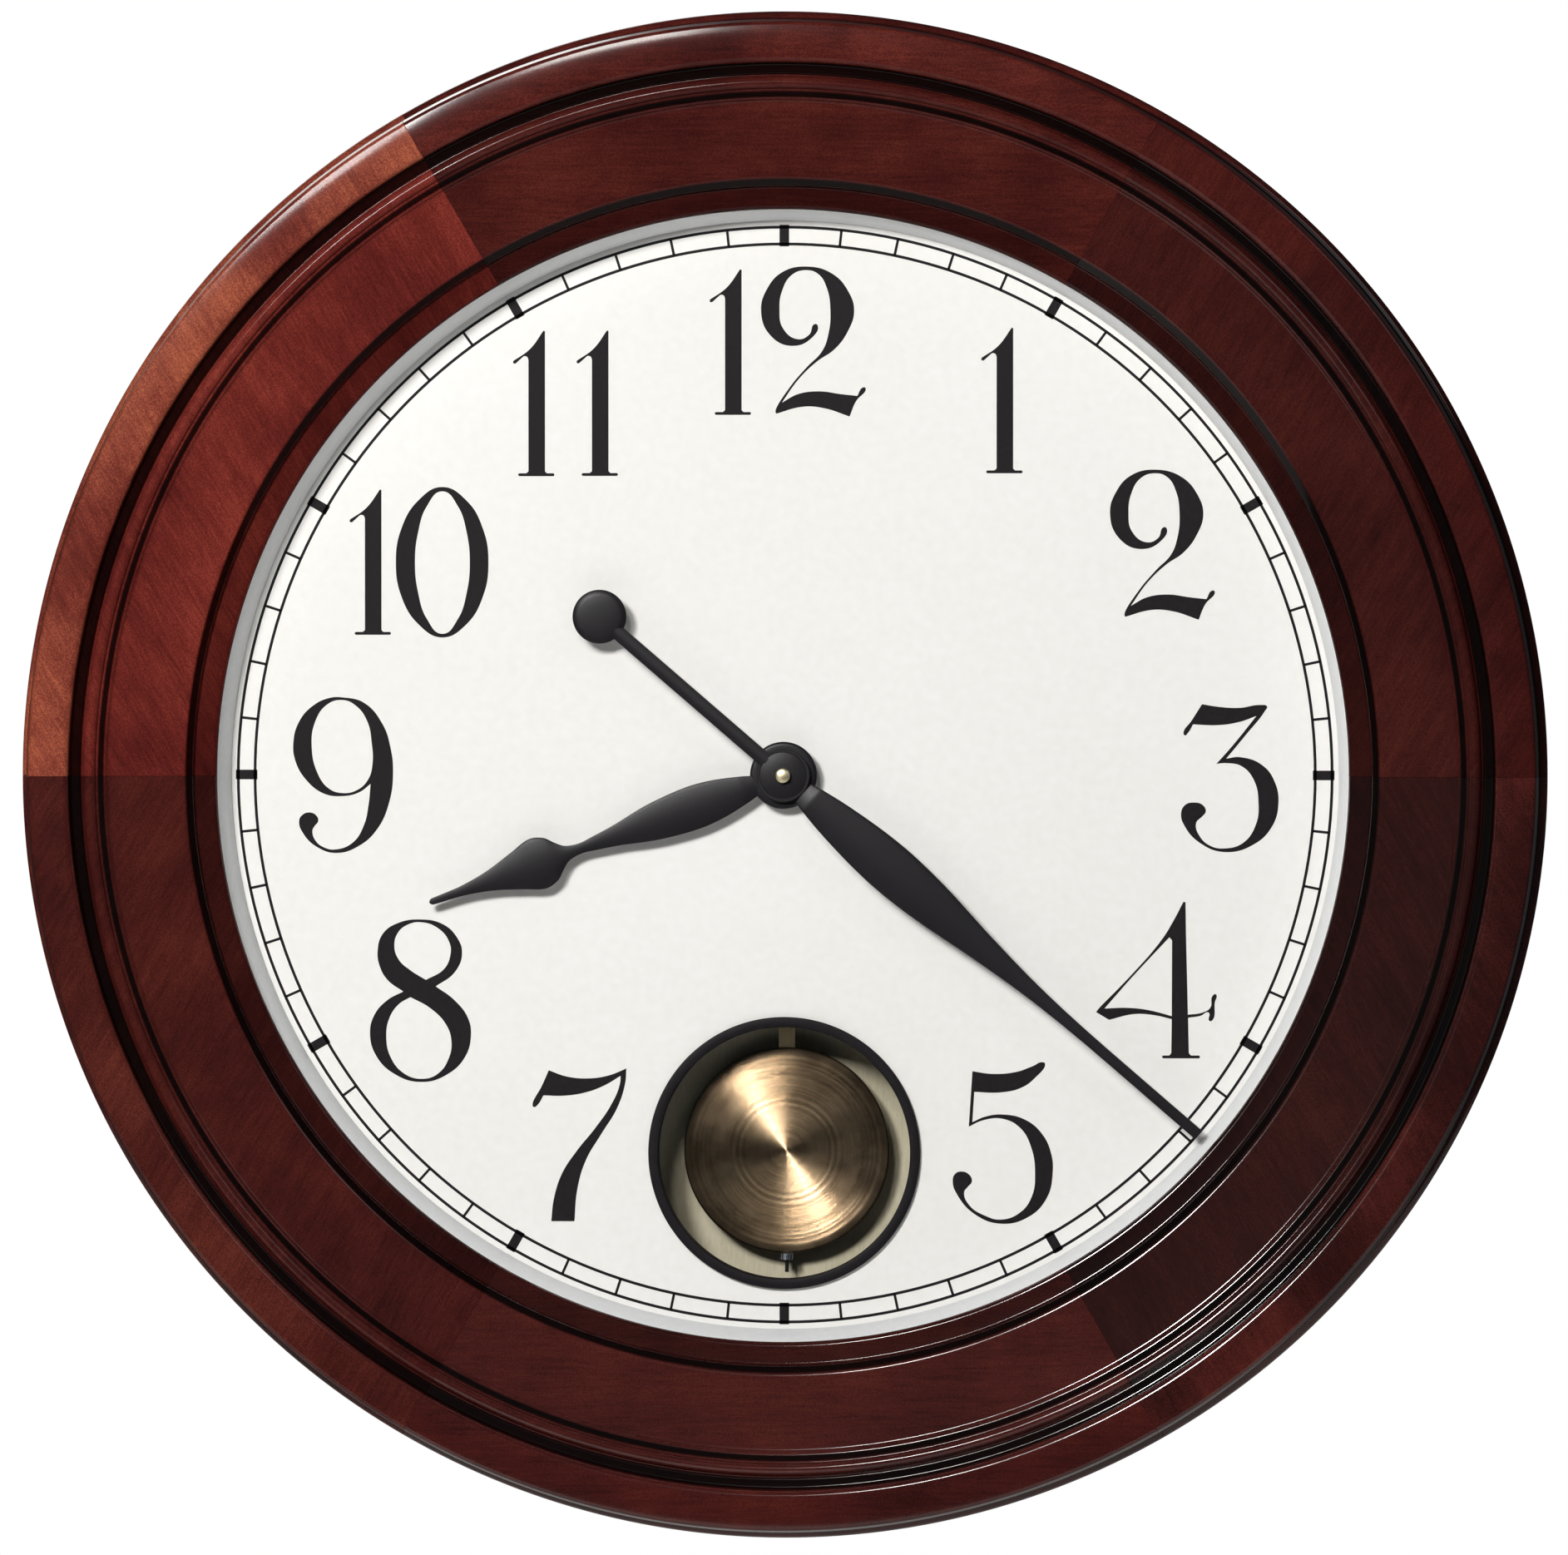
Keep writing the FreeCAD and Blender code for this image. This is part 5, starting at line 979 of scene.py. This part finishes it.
def makeRod():
    # flat strip with eased edges
    low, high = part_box("pendulum_rod")
    bm = bmesh.new()
    bmesh.ops.create_cube(bm, size=1)
    bmesh.ops.scale(bm, vec=high - low, verts=bm.verts)
    bmesh.ops.translate(bm, vec=(low + high) / 2, verts=bm.verts)
    eased(bm, bm.edges[:], bob["rod"], 3)
    finish = Finish("rodBrass", {"Metallic": 0.75})
    spot = finish.place()
    lines = finish.noise(finish.vector("MULTIPLY", spot, (5200, 900, 60)), 1, 3, 0.6)
    # painted highlight: the colour is lighter along both long edges of the strip
    edge = finish.node("ShaderNodeMath", {"operation": "ABSOLUTE"}, {0: finish.part(spot, "X")})
    edgeHighlight = finish.step(edge, 0.0026, 0.0031)
    dull = finish.ramp(lines, [(0.3, tint(206, 180, 134)), (0.7, tint(238, 218, 174))])
    colour = finish.mix(edgeHighlight * 0.7, dull, tint(250, 232, 190))
    finish.varies(
        colour=colour,
        roughness=finish.step(lines, 0.3, 0.7, 0.28, 0.42),
        normal=finish.bump(lines, 0.00002, 0.4),
    )
    finished(bm, "pendulumRod", "pendulum", finish.material, ["pendulum_rod"])


makeBob()
makeRod()
print("pendulum done")


def moulded(name, dark, light, roughness, grain=900, depth=0.00008):
    finish = Finish(name, {"Specular IOR Level": 0.45})
    spot = finish.place()
    skin = finish.noise(spot, grain, 3, 0.6)
    cloud = finish.noise(spot, 30, 3, 0.5)
    colour = finish.ramp(skin * 0.5 + cloud * 0.5, [(0.3, dark), (0.7, light)])
    return finish.varies(
        colour=colour,
        roughness=finish.step(skin, 0.3, 0.7, roughness, roughness + 0.14),
        normal=finish.bump(skin, depth, 0.5),
    )


def plated(name, dark, light, roughness, stretch=(300, 300, 2600)):
    finish = Finish(name, {"Metallic": 1.0})
    spot = finish.place()
    lines = finish.noise(finish.vector("MULTIPLY", spot, stretch), 1, 3, 0.6)
    cloud = finish.noise(spot, 120, 3, 0.6)
    colour = finish.ramp(lines * 0.4 + cloud * 0.6, [(0.3, dark), (0.7, light)])
    return finish.varies(
        colour=colour,
        roughness=finish.step(cloud, 0.3, 0.7, roughness, roughness + 0.16),
        normal=finish.bump(lines, 0.00003, 0.4),
    )


def wound():
    # lacquered copper wire laid turn by turn, each turn painted lighter on its crest and darker in the
    # groove between turns: painted light and shade
    finish = Finish("copperWire", {"Metallic": 1.0, "Coat Weight": 0.5, "Coat Roughness": 0.2})
    spot = finish.place()
    settings = {"wave_type": "BANDS", "bands_direction": "DIAGONAL", "wave_profile": "SIN"}
    turns = finish.node("ShaderNodeTexWave", settings, {"Vector": spot, "Scale": 900.0, "Distortion": 0.4})
    colour = finish.mix(turns, tint(120, 56, 26), tint(206, 118, 62))
    return finish.varies(
        colour=colour,
        roughness=finish.step(turns, 0, 1, 0.4, 0.25),
        normal=finish.bump(turns, 0.0001, 0.7),
    )


def threaded(name, dark, light):
    finish = Finish(name, {"Metallic": 1.0})
    spot = finish.place()
    # painted light and shade: each thread is lighter on its crest and darker in its root
    settings = {"wave_type": "BANDS", "bands_direction": "Z", "wave_profile": "TRI"}
    thread = finish.node("ShaderNodeTexWave", settings, {"Vector": spot, "Scale": 620.0})
    return finish.varies(
        colour=finish.mix(thread, dark, light),
        roughness=finish.step(thread, 0, 1, 0.5, 0.32),
        normal=finish.bump(thread, 0.0002, 0.8),
    )


def sleeve():
    # battery wrap: dark body, a lighter band at one end, scuffs
    finish = Finish("batterySleeve", {"Coat Weight": 0.4, "Coat Roughness": 0.15, "Metallic": 0.35})
    spot = finish.place()
    along = finish.part(spot, "X")
    scuff = finish.noise(finish.vector("MULTIPLY", spot, (60, 900, 900)), 1, 4, 0.7)
    band = finish.step(along, 0.0108, 0.0112)
    colour = finish.mix(band, tint(28, 34, 44), tint(172, 122, 60))
    colour = finish.mix(finish.step(scuff, 0.6, 0.8) * 0.3, colour, tint(150, 150, 152))
    ends = finish.step(along, 0.0236, 0.0239)
    colour = finish.mix(ends, colour, tint(196, 196, 192))
    return finish.varies(
        colour=colour,
        roughness=finish.step(scuff, 0.3, 0.7, 0.28, 0.42),
        normal=finish.bump(scuff, 0.00004, 0.4),
    )


def circuit():
    # solder mask with tracks under it
    finish = Finish("circuitBoard", {"Coat Weight": 0.6, "Coat Roughness": 0.2})
    spot = finish.place()
    settings = {"feature": "DISTANCE_TO_EDGE", "distance": "EUCLIDEAN"}
    cells = finish.node("ShaderNodeTexVoronoi", settings, {"Vector": spot, "Scale": 260.0}, "Distance")
    tracks = finish.step(cells, 0.03, 0.06, 1, 0)
    colour = finish.mix(tracks, tint(14, 74, 42), tint(58, 134, 74))
    return finish.varies(
        colour=colour,
        roughness=finish.step(tracks, 0, 1, 0.4, 0.3),
        normal=finish.bump(tracks, 0.00006, 0.5),
    )


caseBlack = moulded("movementCase", tint(26, 26, 28), tint(44, 44, 47), 0.46)
coat(caseBlack, "movement_front_housing", "movement_back_housing", "pendulum_hanger")
gearWhite = moulded("gearAcetal", tint(214, 211, 200), tint(232, 230, 220), 0.4, 1400, 0.00004)
coat(gearWhite, "hour_wheel", "centre_wheel", "motion_wheel", "third_wheel", "seconds_wheel")
coat(gearWhite, "fifth_wheel", "rotor_pinion")
plateGrey = moulded("plateGrey", tint(150, 150, 146), tint(176, 176, 172), 0.5)
coat(plateGrey, "gear_mid_plate", "coil_bobbin", "bob_backing")
coat(moulded("cushionRubber", tint(20, 20, 21), tint(40, 40, 41), 0.75, 2200), "cushion_washer")
coat(moulded("knobRed", tint(140, 28, 22), tint(178, 44, 34), 0.36, 1500), "set_knob")
coat(moulded("chipEpoxy", tint(22, 22, 23), tint(38, 38, 40), 0.55, 3000), "timing_chip")
coat(moulded("ferrite", tint(52, 52, 55), tint(82, 82, 86), 0.5, 3200), "rotor_magnet", "pendulum_magnet")
zinc = plated("zincPlate", tint(150, 152, 148), tint(206, 208, 204), 0.3)
coat(zinc, "back_panel_screws", "hanger_screws", "dial_clip_screws", "dial_clips", "hanger_plate")
coat(plated("contactNickel", tint(176, 176, 170), tint(224, 224, 218), 0.2), "battery_plus_contact")
coat(plated("springNickel", tint(168, 168, 164), tint(220, 220, 216), 0.24), "battery_minus_spring")
coat(plated("motorSteel", tint(120, 121, 124), tint(170, 171, 174), 0.36), "stator", "pivot_pin")
bright = plated("brightSteel", tint(168, 176, 190), tint(222, 228, 238), 0.2)
coat(bright, "quartz_crystal", "rating_nut")
coat(threaded("blackThread", tint(30, 30, 32), tint(86, 86, 90)), "rating_screw")
coat(wound(), "coil_winding", "pendulum_coil")
coat(sleeve(), "battery")
coat(circuit(), "circuit_board")
print("movement finished")


def makeFloor():
    bm = bmesh.new()
    bmesh.ops.create_circle(bm, cap_ends=True, segments=128, radius=studio["floorSize"])
    bmesh.ops.translate(bm, verts=bm.verts, vec=(0, 0, studio["floor"]))
    mesh = bpy.data.meshes.new("floor")
    bm.to_mesh(mesh)
    bm.free()
    floor = bpy.data.objects.new("floor", mesh)
    bpy.context.collection.objects.link(floor)
    finish = Finish("paleFloor", {"Specular IOR Level": 0.2})
    cloud = finish.noise(finish.place(), 4, 3, 0.5)
    mesh.materials.append(finish.varies(
        colour=finish.ramp(cloud, [(0.3, tint(226, 226, 224)), (0.7, tint(234, 234, 232))]),
        roughness=finish.step(cloud, 0.3, 0.7, 0.8, 0.9),
    ))


makeFloor()
print("floor laid")
print("clock complete")
